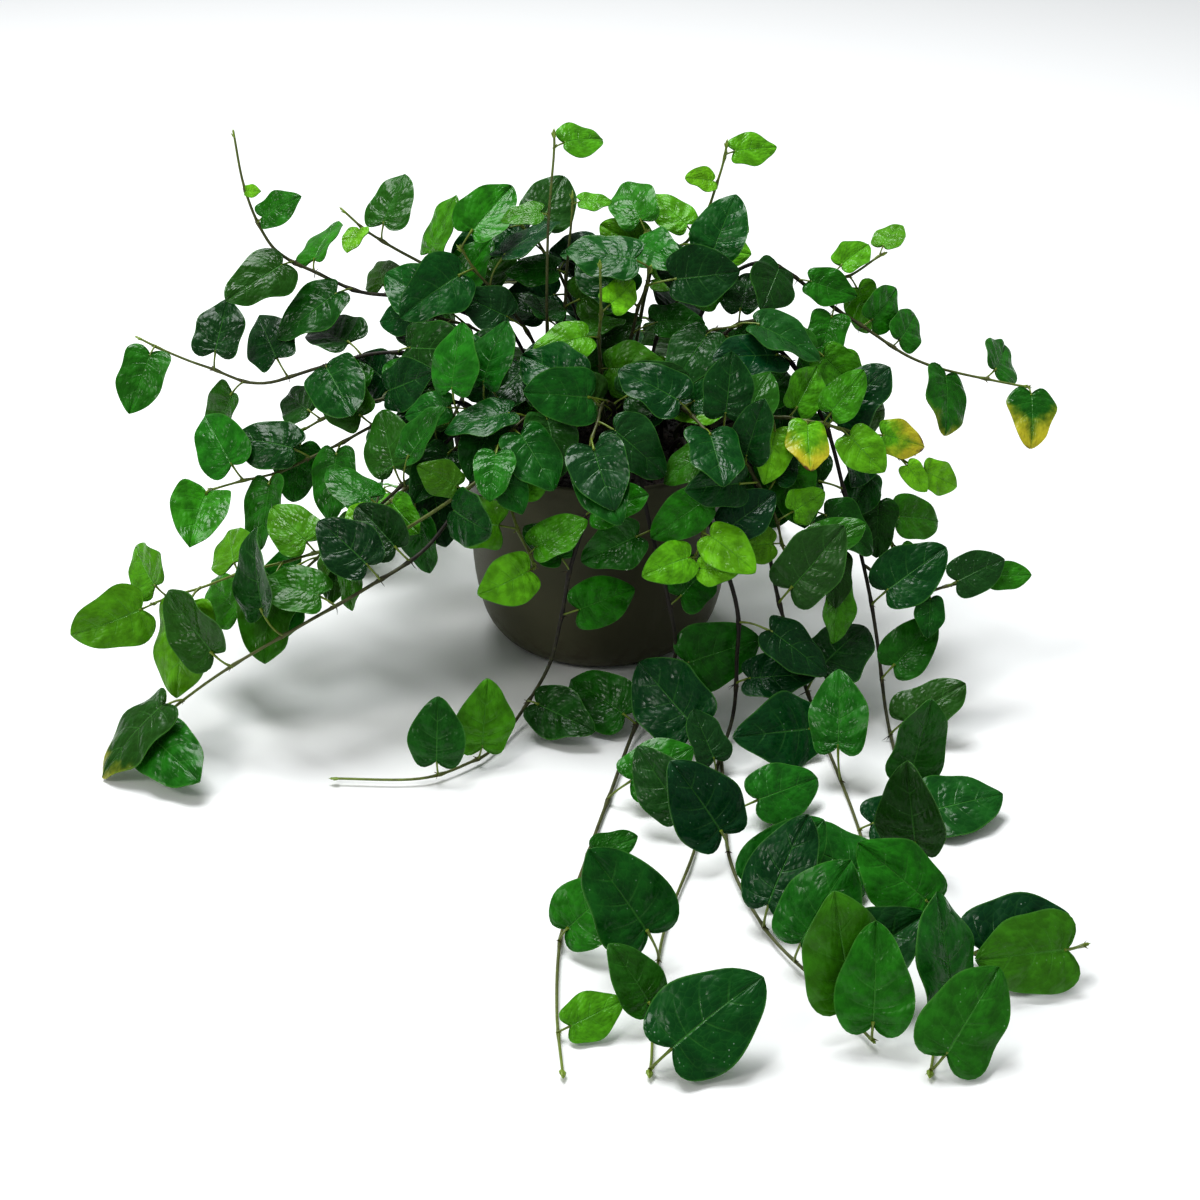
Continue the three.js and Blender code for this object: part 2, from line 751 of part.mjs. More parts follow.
function isClear(leaf, grown, chains) {
  if (!leaf.lines.every((line) => line.every(clearOfPot))) return false;
  const stalk = [leaf.root, leaf.base];
  for (const other of grown) {
    if (other.base.distanceTo(leaf.base) > other.size + leaf.size + 8) continue;
    if (leaf.lines.some((line) => pierces(other, line, bladeClearance))) return false;
    if (other.lines.some((line) => pierces(leaf, line, bladeClearance))) return false;
    if (pierces(other, stalk, bladeClearance)) return false;
    if (pierces(leaf, [other.root, other.base], bladeClearance)) return false;
  }
  for (const chain of chains) {
    const own = chain.stem.name === leaf.stem;
    const near = chain.points.filter(
      (p) => p.distanceTo(leaf.base) < leaf.size + 10 && (!own || p.distanceTo(leaf.root) > 9),
    );
    if (near.length && pierces(leaf, near, stemClearance)) return false;
  }
  return true;
}

// The point of a faceted stem's middle line that lies nearest to a point
function nearestOn(line, point) {
  let best = null;
  for (let i = 1; i < line.length; i++) {
    const found = new THREE.Line3(line[i - 1], line[i]).closestPointToPoint(point, true, new THREE.Vector3());
    if (!best || found.distanceTo(point) < best.distanceTo(point)) best = found;
  }
  return best;
}

// The blade and its stalk as one closed sheet: the same triangles on both faces, joined round the edge.
// Its rim runs from the stalk's end, 0, round one lobe and shoulder to the tip, 4, and back on the other side
function leafGeometry(leaf, line) {
  const { size } = leaf;
  const onSheet = ([u, v]) => [u * leaf.breadth, v, swell(leaf, u * leaf.breadth, v)];
  const seat = nearestOn(line, leaf.root);
  const [rootAcross, rootAlong, rootOff] = toLeaf(leaf, seat);
  const sink = 1 + sinkDepth / seat.distanceTo(leaf.base);
  const stalkEnd = [rootAcross * sink, rootAlong * sink, rootOff * sink];
  const ring = [stalkEnd, ...rim.map(onSheet)];
  const faces = [
    [0, 1, 7],
    [1, 2, 3],
    [7, 5, 6],
    [1, 3, 7],
    [7, 3, 5],
    [3, 4, 5],
  ];
  const lower = ring.length;
  const positions = [];
  for (const off of [0.5, -0.5]) {
    for (const [u, v, w] of ring) {
      positions.push(...fromLeaf(leaf, u, v, w + (off * bladeThickness) / size).toArray());
    }
  }
  const index = [];
  for (const [a, b, c] of faces) index.push(a, b, c, lower + c, lower + b, lower + a);
  for (let i = 0; i < ring.length; i++) {
    const next = (i + 1) % ring.length;
    index.push(i, lower + i, next, next, lower + i, lower + next);
  }
  const geometry = new THREE.BufferGeometry();
  geometry.setAttribute("position", new THREE.Float32BufferAttribute(positions, 3));
  geometry.setIndex(index);
  return geometry;
}

// A whole leafy stem, fused: the stem, its side shoots and its leaves, less any scrap that comes loose
function leafyStem(stem, leaves) {
  const curves = [stem, ...(stem.shoots ?? [])].map((part) => curveOf(part.route));
  let solid = solidOf(tube(curves[0], stemRadius));
  for (const curve of curves.slice(1)) solid = solid.add(solidOf(tube(curve, shootRadius)));
  for (const leaf of leaves) {
    const curve = curves[leaf.part];
    solid = solid.add(solidOf(leafGeometry(leaf, curve.getSpacedPoints(stepsOf(curve)))));
  }
  const bodies = solid.decompose();
  bodies.sort((a, b) => b.volume() - a.volume());
  return bodies[0].asOriginal().simplify(mergeTolerance);
}

// The whole plant

const plant = new THREE.Group();

function place(name, geometry, colour, roughness) {
  const material = new THREE.MeshStandardMaterial({ color: colour, roughness, metalness: 0 });
  const mesh = new THREE.Mesh(geometry, material);
  mesh.name = name;
  plant.add(mesh);
}

place("pot", geometryOf(solidOf(potGeometry())), colours.pot, 0.5);
place("soil", geometryOf(soilSolid()), colours.soil, 1);

const leaves = growLeaves();
for (const stem of stems) {
  const own = leaves.filter((leaf) => leaf.stem === stem.name);
  place(stem.name, geometryOf(leafyStem(stem, own)), colours[stem.tone], 0.45);
}

export default plant;
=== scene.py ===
# %% [markdown]
# # A creeping fig in its pot
#
# The plant is a small-leaved climbing fig. Thin woody stems rise from dark peat, arch over the rim of a
# smooth taupe pot and trail down to the surface that the pot stands on. Heart-shaped leaves sit on short
# green stalks on alternate sides of every stem.
#
# The construction of the object is already fixed in a frame: every stem and leaf has its place there.
# This lesson keeps those places and makes the surfaces that the eye sees: blistered glossy blades with
# pale veins, bark, buds and rootlets, crumbly peat and moulded plastic.

# %% Load the frame
import json
import math
import random
from itertools import product

import bmesh
import bpy
import numpy as np
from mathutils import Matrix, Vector, noise

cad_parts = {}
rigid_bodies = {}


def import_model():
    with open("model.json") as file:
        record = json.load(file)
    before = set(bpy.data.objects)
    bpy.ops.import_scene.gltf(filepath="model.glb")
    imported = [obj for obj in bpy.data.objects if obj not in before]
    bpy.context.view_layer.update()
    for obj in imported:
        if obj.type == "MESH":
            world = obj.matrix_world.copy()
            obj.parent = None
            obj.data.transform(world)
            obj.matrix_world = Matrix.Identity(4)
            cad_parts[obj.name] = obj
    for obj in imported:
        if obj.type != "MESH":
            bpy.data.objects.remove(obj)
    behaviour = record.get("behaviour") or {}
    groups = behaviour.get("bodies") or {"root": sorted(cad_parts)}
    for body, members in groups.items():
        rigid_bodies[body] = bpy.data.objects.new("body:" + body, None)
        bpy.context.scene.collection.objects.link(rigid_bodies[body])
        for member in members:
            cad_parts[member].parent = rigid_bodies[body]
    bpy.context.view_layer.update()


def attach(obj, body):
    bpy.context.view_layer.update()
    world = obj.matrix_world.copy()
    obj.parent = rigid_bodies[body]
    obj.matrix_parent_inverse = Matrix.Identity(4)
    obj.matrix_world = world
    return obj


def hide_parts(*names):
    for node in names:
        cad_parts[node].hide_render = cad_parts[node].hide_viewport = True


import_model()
MM = 0.001

# %% [markdown]
# ## The view
#
# The photograph looks down on the plant from a little above, from the front. A lens of about 60 mm on a
# 36 mm sensor at 0.9 m gives the pot the same shape as in the photograph. The camera is made first, so
# that each later step can be judged from the same place.

# %% Camera
CAMERA_PLACE = (0.0, -0.834, 0.434)
CAMERA_DROP = 26.8
CAMERA_LENS = 60.24


def make_camera():
    lens = bpy.data.cameras.new("view")
    lens.lens = CAMERA_LENS
    lens.sensor_width = 36
    lens.clip_end = 20
    camera = bpy.data.objects.new("view", lens)
    camera.location = CAMERA_PLACE
    camera.rotation_euler = (math.radians(90 - CAMERA_DROP), 0, 0)
    bpy.context.collection.objects.link(camera)
    bpy.context.scene.camera = camera


make_camera()
print("camera at", CAMERA_PLACE, "looking", CAMERA_DROP, "degrees down")

# %% [markdown]
# ## Floor and light
#
# A plant like this is best shown on a plain pale floor. A large soft lamp overhead, a little behind the
# plant, puts the broad sheen on the leaves that face up and leaves the pot in the shade of the crown.
# A weaker lamp from the front left opens the shadows, and a pale sky fills the rest. A contrast look
# deepens the shade among the leaves, as in the photograph.

# %% Floor, lamps and sky
FLOOR_SIZE = 12.0
LAMPS = [
    # name, place, size, power, colour
    ("overhead", (-0.45, 0.5, 2.1), 1.1, 43, (0.97, 0.99, 1.0)),
    ("front left", (-1.2, -1.2, 1.5), 0.45, 8, (1.0, 0.98, 0.95)),
]
FLOOR_GREY = (0.93, 0.93, 0.93, 1.0)
SKY_COLOUR = (0.97, 0.99, 1.0, 1.0)
SKY_STRENGTH = 0.34


def make_floor():
    mesh = bpy.data.meshes.new("floor")
    half = FLOOR_SIZE / 2
    corners = [(-half, -half, 0), (half, -half, 0), (half, half, 0), (-half, half, 0)]
    mesh.from_pydata(corners, [], [(0, 1, 2, 3)])
    floor = bpy.data.objects.new("floor", mesh)
    bpy.context.collection.objects.link(floor)
    paint = bpy.data.materials.new("pale floor")
    paint.use_nodes = True
    shader = paint.node_tree.nodes["Principled BSDF"]
    shader.inputs["Base Color"].default_value = FLOOR_GREY
    shader.inputs["Roughness"].default_value = 0.8
    mesh.materials.append(paint)


def make_lamps():
    for name, place, size, power, colour in LAMPS:
        lamp = bpy.data.lights.new(name, "AREA")
        lamp.size = size
        lamp.energy = power
        lamp.color = colour
        holder = bpy.data.objects.new(name, lamp)
        holder.location = place
        holder.rotation_euler = (Vector((0, 0, 0.1)) - Vector(place)).to_track_quat("-Z", "Y").to_euler()
        bpy.context.collection.objects.link(holder)


def make_sky():
    world = bpy.data.worlds.new("sky")
    world.use_nodes = True
    background = world.node_tree.nodes["Background"]
    background.inputs["Color"].default_value = SKY_COLOUR
    background.inputs["Strength"].default_value = SKY_STRENGTH
    bpy.context.scene.world = world


make_floor()
make_lamps()
make_sky()
bpy.context.scene.view_settings.view_transform = "Standard"
bpy.context.scene.view_settings.look = "Medium High Contrast"
print("lamps:", [lamp[0] for lamp in LAMPS])

# %% [markdown]
# ## Wiring node trees
#
# Materials and Geometry Nodes are both trees of nodes joined by links. Small helpers keep the wiring
# readable: `wire` adds a node and joins or sets its inputs in one go, `sums` and `times` do arithmetic,
# and the rest each stand for a node that comes back often.

# %% Helpers for node trees
def wire(tree, kind, inputs=None, **settings):
    made = tree.nodes.new(kind)
    for key, value in settings.items():
        setattr(made, key, value)
    for key, value in (inputs or {}).items():
        socket = made.inputs[key]
        if isinstance(value, bpy.types.NodeSocket):
            tree.links.new(value, socket)
        else:
            socket.default_value = value
    return made


def sums(tree, operation, *values, clamp=False):
    inputs = dict(enumerate(values))
    return wire(tree, "ShaderNodeMath", inputs, operation=operation, use_clamp=clamp).outputs[0]


def times(tree, *factors):
    found = factors[0]
    for factor in factors[1:]:
        found = sums(tree, "MULTIPLY", found, factor)
    return found


def vector_sums(tree, operation, *values):
    inputs = dict(enumerate(values))
    return wire(tree, "ShaderNodeVectorMath", inputs, operation=operation).outputs[0]


def scaled(tree, vector, factor):
    return wire(tree, "ShaderNodeVectorMath", {0: vector, "Scale": factor}, operation="SCALE").outputs[0]


def attribute(tree, name, output="Fac"):
    return wire(tree, "ShaderNodeAttribute", attribute_name=name).outputs[output]


def own_place(tree):
    return wire(tree, "ShaderNodeTexCoord").outputs["Object"]


def clouds(tree, where, scale, detail):
    """A soft pattern between 0 and 1."""
    inputs = {"Vector": where, "Scale": scale, "Detail": detail}
    return wire(tree, "ShaderNodeTexNoise", inputs).outputs["Fac"]


def bumps(tree, strength, distance, height):
    inputs = {"Strength": strength, "Distance": distance, "Height": height}
    return wire(tree, "ShaderNodeBump", inputs).outputs["Normal"]


def step_between(tree, value, low, high, at_low=0.0, at_high=1.0):
    """A soft step: at_low up to low, at_high from high on."""
    inputs = {"Value": value, "From Min": low, "From Max": high, "To Min": at_low, "To Max": at_high}
    return wire(tree, "ShaderNodeMapRange", inputs, interpolation_type="SMOOTHSTEP").outputs[0]


def blend_colour(tree, share, first, second, mode="MIX"):
    mixed = wire(tree, "ShaderNodeMix", data_type="RGBA", blend_type=mode)
    for place, value in ((0, share), (6, first), (7, second)):
        if isinstance(value, bpy.types.NodeSocket):
            tree.links.new(value, mixed.inputs[place])
        else:
            mixed.inputs[place].default_value = value
    return mixed.outputs[2]


def new_paint(name):
    """A material with its Principled shader, ready for wiring."""
    paint = bpy.data.materials.new(name)
    paint.use_nodes = True
    tree = paint.node_tree
    return paint, tree, tree.nodes["Principled BSDF"]


def connect(tree, shader, **sockets):
    for key, value in sockets.items():
        tree.links.new(value, shader.inputs[key.replace("_", " ")])


print("helpers ready")

# %% [markdown]
# ## The leaf's surface
#
# A young creeping fig leaf is dark and glossy above, with a fine pale midrib, five or six curved side
# veins on each half, a faint net between them and a thin pale edge. The blade is quilted between the
# veins. Below it is paler and duller, with veins that stand out. Leaves differ: old ones are deep blue
# green, young ones fresh yellow green, some turn yellow and brown from the tip.
#
# Each vertex of a blade carries where it lies in the leaf, `blade` = (across, along, upper face), and
# each leaf its own `youth`, `warmth`, `scorch` and `frost`. One material reads them all, so that no two
# leaves are alike and every vein follows its leaf.

# %% Leaf material
SIDE_VEINS = 6
# Leaf colours from old to young leaves, as on the plant, all painted darker than the leaves themselves as
# painted shade among the leaves.
LEAF_RAMP_WITH_SHADE = [
    (0.0, (0.0010, 0.018, 0.0034, 1)),
    (0.3, (0.0030, 0.052, 0.0026, 1)),
    (0.62, (0.020, 0.19, 0.0040, 1)),
    (1.0, (0.17, 0.50, 0.012, 1)),
]
WARM_GREEN = (0.070, 0.16, 0.003, 1)
UNDERSIDE_GREEN = (0.036, 0.13, 0.004, 1)
VEIN_GREEN = (0.09, 0.32, 0.05, 1)
EDGE_GREEN = (0.08, 0.25, 0.04, 1)
SCORCH_YELLOW = (0.50, 0.46, 0.03, 1)
SCORCH_BROWN = (0.13, 0.055, 0.025, 1)
SPECK_WHITE = (0.55, 0.64, 0.58, 1)
BLUE_GREEN = (0.0040, 0.056, 0.022, 1)
LEAF_SHEEN = 0.2
NET_STRETCH = (3.4, 10.0, 1.0)
NET_SCALE = 1.6


def leaf_reader(tree):
    """Where a point lies in its leaf, and what kind of leaf that is."""
    place = attribute(tree, "blade", "Vector")
    parts = wire(tree, "ShaderNodeSeparateXYZ", {"Vector": place}).outputs
    read = {"place": place, "along": parts[1], "upper": parts[2]}
    read["out"] = sums(tree, "ABSOLUTE", parts[0])
    for name in ("youth", "warmth", "scorch", "frost"):
        read[name] = attribute(tree, name)
    return read


def leaf_cells(tree, leaf, feature):
    """Distances in the small cells that the net of veins divides a blade into."""
    spread = vector_sums(tree, "MULTIPLY", leaf["place"], NET_STRETCH)
    cells = wire(tree, "ShaderNodeTexVoronoi", {"Vector": spread, "Scale": NET_SCALE}, feature=feature)
    return cells.outputs["Distance"]


def leaf_veins(tree, leaf):
    """Masks for the midrib with its side veins, for the net between them, and for the edge."""
    midrib = step_between(tree, leaf["out"], 0.006, 0.042, 1.0, 0.0)
    distance = sums(tree, "PINGPONG", times(tree, leaf["along"], float(SIDE_VEINS)), 0.5)
    side = step_between(tree, distance, 0.010, 0.065, 1.0, 0.0)
    fade = step_between(tree, leaf["out"], 0.2, 0.85, 0.5, 0.03)
    veins = sums(tree, "MAXIMUM", midrib, times(tree, side, fade))
    net = step_between(tree, leaf_cells(tree, leaf, "DISTANCE_TO_EDGE"), 0.0, 0.07, 1.0, 0.0)
    edge = step_between(tree, leaf["out"], 0.955, 0.99)
    return veins, net, edge


def leaf_colour(tree, leaf, cloud, veins, net, edge):
    # The ramp holds the leaves' own colour by age together with painted shade.
    ramp = wire(tree, "ShaderNodeValToRGB", {"Fac": leaf["youth"]})
    stops = ramp.color_ramp.elements
    stops[0].position, stops[0].color = LEAF_RAMP_WITH_SHADE[0]
    stops[1].position, stops[1].color = LEAF_RAMP_WITH_SHADE[-1]
    for position, colour in LEAF_RAMP_WITH_SHADE[1:-1]:
        stops.new(position).color = colour
    bright = step_between(tree, cloud, 0.3, 0.72, 0.72, 1.3)
    grey = wire(tree, "ShaderNodeCombineXYZ", {0: bright, 1: bright, 2: bright}).outputs[0]
    colour = blend_colour(tree, 1.0, ramp.outputs["Color"], grey, "MULTIPLY")
    colour = blend_colour(tree, leaf["warmth"], colour, WARM_GREEN)
    lower = sums(tree, "MULTIPLY_ADD", leaf["upper"], -0.62, 0.62)
    for share, paint in (
        (times(tree, leaf["frost"], 0.8), BLUE_GREEN), (lower, UNDERSIDE_GREEN),
        (times(tree, veins, 0.36), VEIN_GREEN), (times(tree, net, 0.07), VEIN_GREEN),
        (times(tree, edge, 0.45), EDGE_GREEN),
    ):
        colour = blend_colour(tree, share, colour, paint)
    return colour


def leaf_scorch(tree, leaf, colour, cloud):
    """Yellow, then brown, creeping in from the tip and the edge of a tired leaf."""
    reach = sums(tree, "MULTIPLY_ADD", leaf["out"], 0.35, times(tree, leaf["along"], 0.7))
    reach = times(tree, sums(tree, "MULTIPLY_ADD", cloud, 0.5, reach), leaf["scorch"])
    colour = blend_colour(tree, step_between(tree, reach, 0.62, 0.95), colour, SCORCH_YELLOW)
    return blend_colour(tree, step_between(tree, reach, 1.0, 1.1), colour, SCORCH_BROWN)


def leaf_specks(tree, leaf, where, cloud):
    """White dried droplets, in loose groups on the upper face."""
    dots = wire(tree, "ShaderNodeTexVoronoi", {"Vector": where, "Scale": 620.0}, feature="F1")
    dot = step_between(tree, dots.outputs["Distance"], 0.10, 0.2, 1.0, 0.0)
    pick = wire(tree, "ShaderNodeSeparateColor", {"Color": dots.outputs["Color"]}).outputs[0]
    rare = step_between(tree, pick, 0.72, 0.78)
    group = step_between(tree, cloud, 0.48, 0.6)
    return times(tree, dot, rare, group, leaf["frost"], leaf["upper"])


def leaf_relief(tree, leaf, veins):
    """Quilting between the veins: fine bumps that the blade's own shape is too coarse for."""
    height = times(tree, leaf_cells(tree, leaf, "F1"), -0.8)
    return bumps(tree, 0.55, 0.0007, sums(tree, "MULTIPLY_ADD", veins, -0.8, height))


def make_leaf_paint():
    paint, tree, shader = new_paint("fig leaf")
    leaf = leaf_reader(tree)
    where = own_place(tree)
    cloud = clouds(tree, where, 190.0, 3.0)
    veins, net, edge = leaf_veins(tree, leaf)
    colour = leaf_scorch(tree, leaf, leaf_colour(tree, leaf, cloud, veins, net, edge), cloud)
    colour = blend_colour(tree, leaf_specks(tree, leaf, where, cloud), colour, SPECK_WHITE)
    gloss = step_between(tree, cloud, 0.3, 0.7, 0.16, 0.36)
    dull = sums(tree, "MULTIPLY_ADD", leaf["upper"], -0.25, 0.25)
    rough = sums(tree, "ADD", gloss, dull)
    connect(tree, shader, Base_Color=colour, Roughness=rough, Normal=leaf_relief(tree, leaf, veins))
    shader.inputs["Specular IOR Level"].default_value = LEAF_SHEEN
    return paint


leaf_paint = make_leaf_paint()
print("leaf material:", len(leaf_paint.node_tree.nodes), "nodes")

# %% [markdown]
# ## Bark, stalks and buds
#
# The stems are olive green while young and turn nearly black brown with age, with fine lengthwise
# wrinkles. Leaf stalks stay yellow green. The same material serves all three: the attribute `age` runs
# from 0, a green stalk, to 1, old bark. Buds are wrapped in pale green scales that dry to brown.

# %% Bark and bud materials
STALK_GREEN = (0.16, 0.23, 0.022, 1)
BARK_OLIVE = (0.075, 0.085, 0.018, 1)
BARK_BLACK = (0.012, 0.008, 0.005, 1)
BUD_GREEN = (0.22, 0.33, 0.04, 1)
BUD_BROWN = (0.10, 0.045, 0.02, 1)


def make_bark_paint():
    paint, tree, shader = new_paint("fig bark")
    age = attribute(tree, "age")
    where = own_place(tree)
    patches = clouds(tree, where, 420.0, 4.0)
    worn = sums(tree, "MULTIPLY_ADD", patches, 0.5, sums(tree, "SUBTRACT", age, 0.25))
    colour = blend_colour(tree, step_between(tree, worn, 0.05, 0.45), STALK_GREEN, BARK_OLIVE)
    colour = blend_colour(tree, step_between(tree, worn, 0.45, 0.85), colour, BARK_BLACK)
    fine = clouds(tree, where, 1800.0, 2.0)
    bump = bumps(tree, 0.5, 0.0002, fine)
    rough = step_between(tree, worn, 0.1, 0.8, 0.38, 0.62)
    connect(tree, shader, Base_Color=colour, Roughness=rough, Normal=bump)
    return paint


def make_bud_paint():
    paint, tree, shader = new_paint("fig bud scale")
    age = attribute(tree, "age")
    where = own_place(tree)
    patches = clouds(tree, where, 900.0, 3.0)
    dry = sums(tree, "MULTIPLY_ADD", patches, 0.6, sums(tree, "SUBTRACT", age, 0.3))
    colour = blend_colour(tree, step_between(tree, dry, 0.2, 0.8), BUD_GREEN, BUD_BROWN)
    bump = bumps(tree, 0.4, 0.0002, patches)
    connect(tree, shader, Base_Color=colour, Normal=bump)
    shader.inputs["Roughness"].default_value = 0.45
    return paint


bark_paint = make_bark_paint()
bud_paint = make_bud_paint()
print("bark and bud materials made")

# %% [markdown]
# ## The pot
#
# The pot is a plain injection-moulded one: a flat foot, a bowl-shaped bottom, nearly straight sides and
# a thin rim that flares a little. Its half profile, turned round the axis, gives the whole shape, so it
# is spun from a list of points. The frame's profile is repeated here with more turns and a rounded lip,
# so that the silhouette is smooth.

# %% Pot shape
POT = {"rim": 65.0, "height": 97.0, "body": 58.0, "foot": 39.0, "wall": 2.2, "base": 2.5}
POT_TURNS = 144
POT_SHEEN = 0.15
LIP_STEPS = 8
WALL_STEPS = 5


def pot_outside():
    foot, body, rim = POT["foot"], POT["body"], POT["rim"]
    return [
        (foot, 0.0), (foot + 4.5, 1.4), (foot + 10, 6.0), (body - 3.6, 16.5), (body, 38.0),
        (body + 1, 74.0), (rim - 2.2, 90.0), (rim, POT["height"] - 1.1),
    ]


def beyond(end, inner):
    return [2 * a - b for a, b in zip(end, inner)]


def curve_point(points, share):
    """A point of the smooth curve through points, of any dimension, at a share of its length in points."""
    last = len(points) - 1
    place = share * last
    first = min(int(math.floor(place)), last - 1)
    part = place - first
    before = points[first - 1] if first > 0 else beyond(points[0], points[1])
    after = points[first + 2] if first + 2 <= last else beyond(points[last], points[last - 1])
    found = []
    for a, b, c, d in zip(before, points[first], points[first + 1], after):
        t0 = 0.5 * (c - a)
        t1 = 0.5 * (d - b)
        c2 = -3 * b + 3 * c - 2 * t0 - t1
        c3 = 2 * b - 2 * c + t0 + t1
        found.append(b + t0 * part + c2 * part * part + c3 * part * part * part)
    return found


def pot_profile():
    """Half profile in millimetres, from the middle of the underside round the lip to the floor inside."""
    outside = pot_outside()
    steps = (len(outside) - 1) * WALL_STEPS
    outer = [curve_point(outside, i / steps) for i in range(steps + 1)]
    outer = [(min(r, POT["rim"]), max(z, 0.0)) for r, z in outer]
    lip_radius = POT["wall"] / 2
    lip = []
    for i in range(1, LIP_STEPS):
        turn = math.pi * i / LIP_STEPS
        lip.append((POT["rim"] - lip_radius + lip_radius * math.cos(turn),
                    POT["height"] - lip_radius + lip_radius * math.sin(turn)))
    inner = [(r - POT["wall"], max(z, POT["base"] + 0.5)) for r, z in outer if z > 1.0]
    return [(0.0, 0.0)] + outer + lip + inner[::-1] + [(POT["foot"] - 2, POT["base"]), (0.0, POT["base"])]


def spin(name, profile, turns):
    """A closed mesh from a half profile whose ends lie on the axis."""
    made = bmesh.new()
    rings = []
    for r, z in profile:
        if r == 0:
            rings.append([made.verts.new((0, 0, z * MM))])
            continue
        angles = [2 * math.pi * i / turns for i in range(turns)]
        rings.append([made.verts.new((r * MM * math.cos(a), r * MM * math.sin(a), z * MM)) for a in angles])
    for low, high in zip(rings, rings[1:]):
        for i in range(turns):
            j = (i + 1) % turns
            if len(low) == 1:
                made.faces.new((low[0], high[j], high[i]))
            elif len(high) == 1:
                made.faces.new((low[i], low[j], high[0]))
            else:
                made.faces.new((low[i], low[j], high[j], high[i]))
    bmesh.ops.recalc_face_normals(made, faces=made.faces)
    mesh = bpy.data.meshes.new(name)
    made.to_mesh(mesh)
    made.free()
    mesh.shade_smooth()
    piece = bpy.data.objects.new(name, mesh)
    bpy.context.collection.objects.link(piece)
    return piece


pot_piece = spin("moulded_pot", pot_profile(), POT_TURNS)
print("pot:", len(pot_piece.data.polygons), "faces")

# %% [markdown]
# ## The pot's plastic
#
# Satin moulded plastic is never quite one colour. It has a very fine grain from the mould, a slow drift
# in tone, faint dried water marks that run down the wall, a few scuffs, and peat dust near the foot and
# on the rim. Each is a separate layer over the taupe base, which is painted darker than the plastic
# itself: painted shade from the crown above the pot.

# %% Pot material
# Both taupes are the plastic's own colour painted darker, as painted shade from the crown above the pot.
SHADED_TAUPE = (0.090, 0.088, 0.052, 1)
SHADED_TAUPE_DARK = (0.070, 0.068, 0.040, 1)
WATER_MARK = (0.12, 0.115, 0.08, 1)
PEAT_DUST = (0.055, 0.040, 0.026, 1)


def make_pot_paint():
    paint, tree, shader = new_paint("shaded taupe plastic")
    where = own_place(tree)
    height = wire(tree, "ShaderNodeSeparateXYZ", {"Vector": where}).outputs[2]
    drift = clouds(tree, where, 14.0, 3.0)
    # The slow drift runs between two taupes that both carry painted shade.
    colour = blend_colour(tree, step_between(tree, drift, 0.35, 0.65), SHADED_TAUPE, SHADED_TAUPE_DARK)
    runs = vector_sums(tree, "MULTIPLY", where, (120.0, 120.0, 14.0))
    marks = clouds(tree, runs, 1.0, 5.0)
    marks = times(tree, step_between(tree, marks, 0.58, 0.75), 0.22)
    colour = blend_colour(tree, marks, colour, WATER_MARK)
    dust = clouds(tree, where, 160.0, 5.0)
    low = step_between(tree, height, 0.0, 0.03, 0.55, 0.0)
    top = step_between(tree, height, 0.088, 0.097, 0.0, 0.45)
    dusty = times(tree, sums(tree, "MAXIMUM", low, top), step_between(tree, dust, 0.45, 0.7))
    colour = blend_colour(tree, dusty, colour, PEAT_DUST)
    grain = clouds(tree, where, 1600.0, 2.0)
    scuffs = vector_sums(tree, "MULTIPLY", where, (60.0, 60.0, 900.0))
    scuffs = clouds(tree, scuffs, 1.0, 2.0)
    scuffs = step_between(tree, scuffs, 0.66, 0.74)
    rough = sums(tree, "MULTIPLY_ADD", scuffs, 0.12, step_between(tree, grain, 0.3, 0.7, 0.36, 0.48))
    rough = sums(tree, "MULTIPLY_ADD", dusty, 0.4, rough)
    bump = bumps(tree, 0.25, 0.0002, grain)
    connect(tree, shader, Base_Color=colour, Roughness=rough, Normal=bump)
    shader.inputs["Specular IOR Level"].default_value = POT_SHEEN
    return paint


pot_piece.data.materials.append(make_pot_paint())
print("pot material made")

# %% [markdown]
# ## The peat
#
# The peat fills the pot to just below the rim and is mounded in the middle. Its surface is made of
# crumbs and short fibres. A closed, finely divided body takes the frame's mound and a cloud of small
# lumps, and then loose crumbs are scattered over it by Geometry Nodes.

# %% Peat body
PEAT = {"edge_height": 87.0, "edge_radius": 57.5, "mound": 5.0, "lump": 1.2, "gap": 0.3}
PEAT_TURNS = 120
PEAT_RINGS = 48


def peat_height(x, y):
    reach = max(0.0, 1 - (x * x + y * y) / PEAT["edge_radius"] ** 2)
    lumps = math.sin(x * 0.31 + 1) * math.cos(y * 0.27) + 0.6 * math.sin(x * 0.13 - y * 0.41)
    return PEAT["edge_height"] + PEAT["mound"] * reach + PEAT["lump"] * lumps * min(1.0, 4 * reach)


def peat_profile():
    wall = [(r - POT["wall"], z) for r, z in pot_outside()[2:] if z < PEAT["edge_height"] - 4]
    side = [(r - 1.5 * PEAT["gap"], max(z, POT["base"] + 0.5) + PEAT["gap"]) for r, z in wall]
    top = [(PEAT["edge_radius"] * (1 - i / PEAT_RINGS), PEAT["edge_height"]) for i in range(PEAT_RINGS + 1)]
    low = POT["base"] + PEAT["gap"]
    return [(0.0, low), (POT["foot"] - 3, low)] + side + top


def roughen_peat(piece):
    for vertex in piece.data.vertices:
        x, y, z = (c / MM for c in vertex.co)
        if z < PEAT["edge_height"] - 0.01:
            continue
        share = math.hypot(x, y) / PEAT["edge_radius"]
        crumbs = noise.fractal((x * 0.16, y * 0.16, 0.0), 0.9, 2.2, 5)
        rise = 1.5 * crumbs * min(1.0, 6 * (1 - share))
        vertex.co.z = (peat_height(x, y) + rise) * MM


peat_piece = spin("peat", peat_profile(), PEAT_TURNS)
roughen_peat(peat_piece)
print("peat body:", len(peat_piece.data.polygons), "faces")

# %% Peat material
PEAT_BLACK = (0.010, 0.007, 0.005, 1)
PEAT_BROWN = (0.055, 0.032, 0.018, 1)


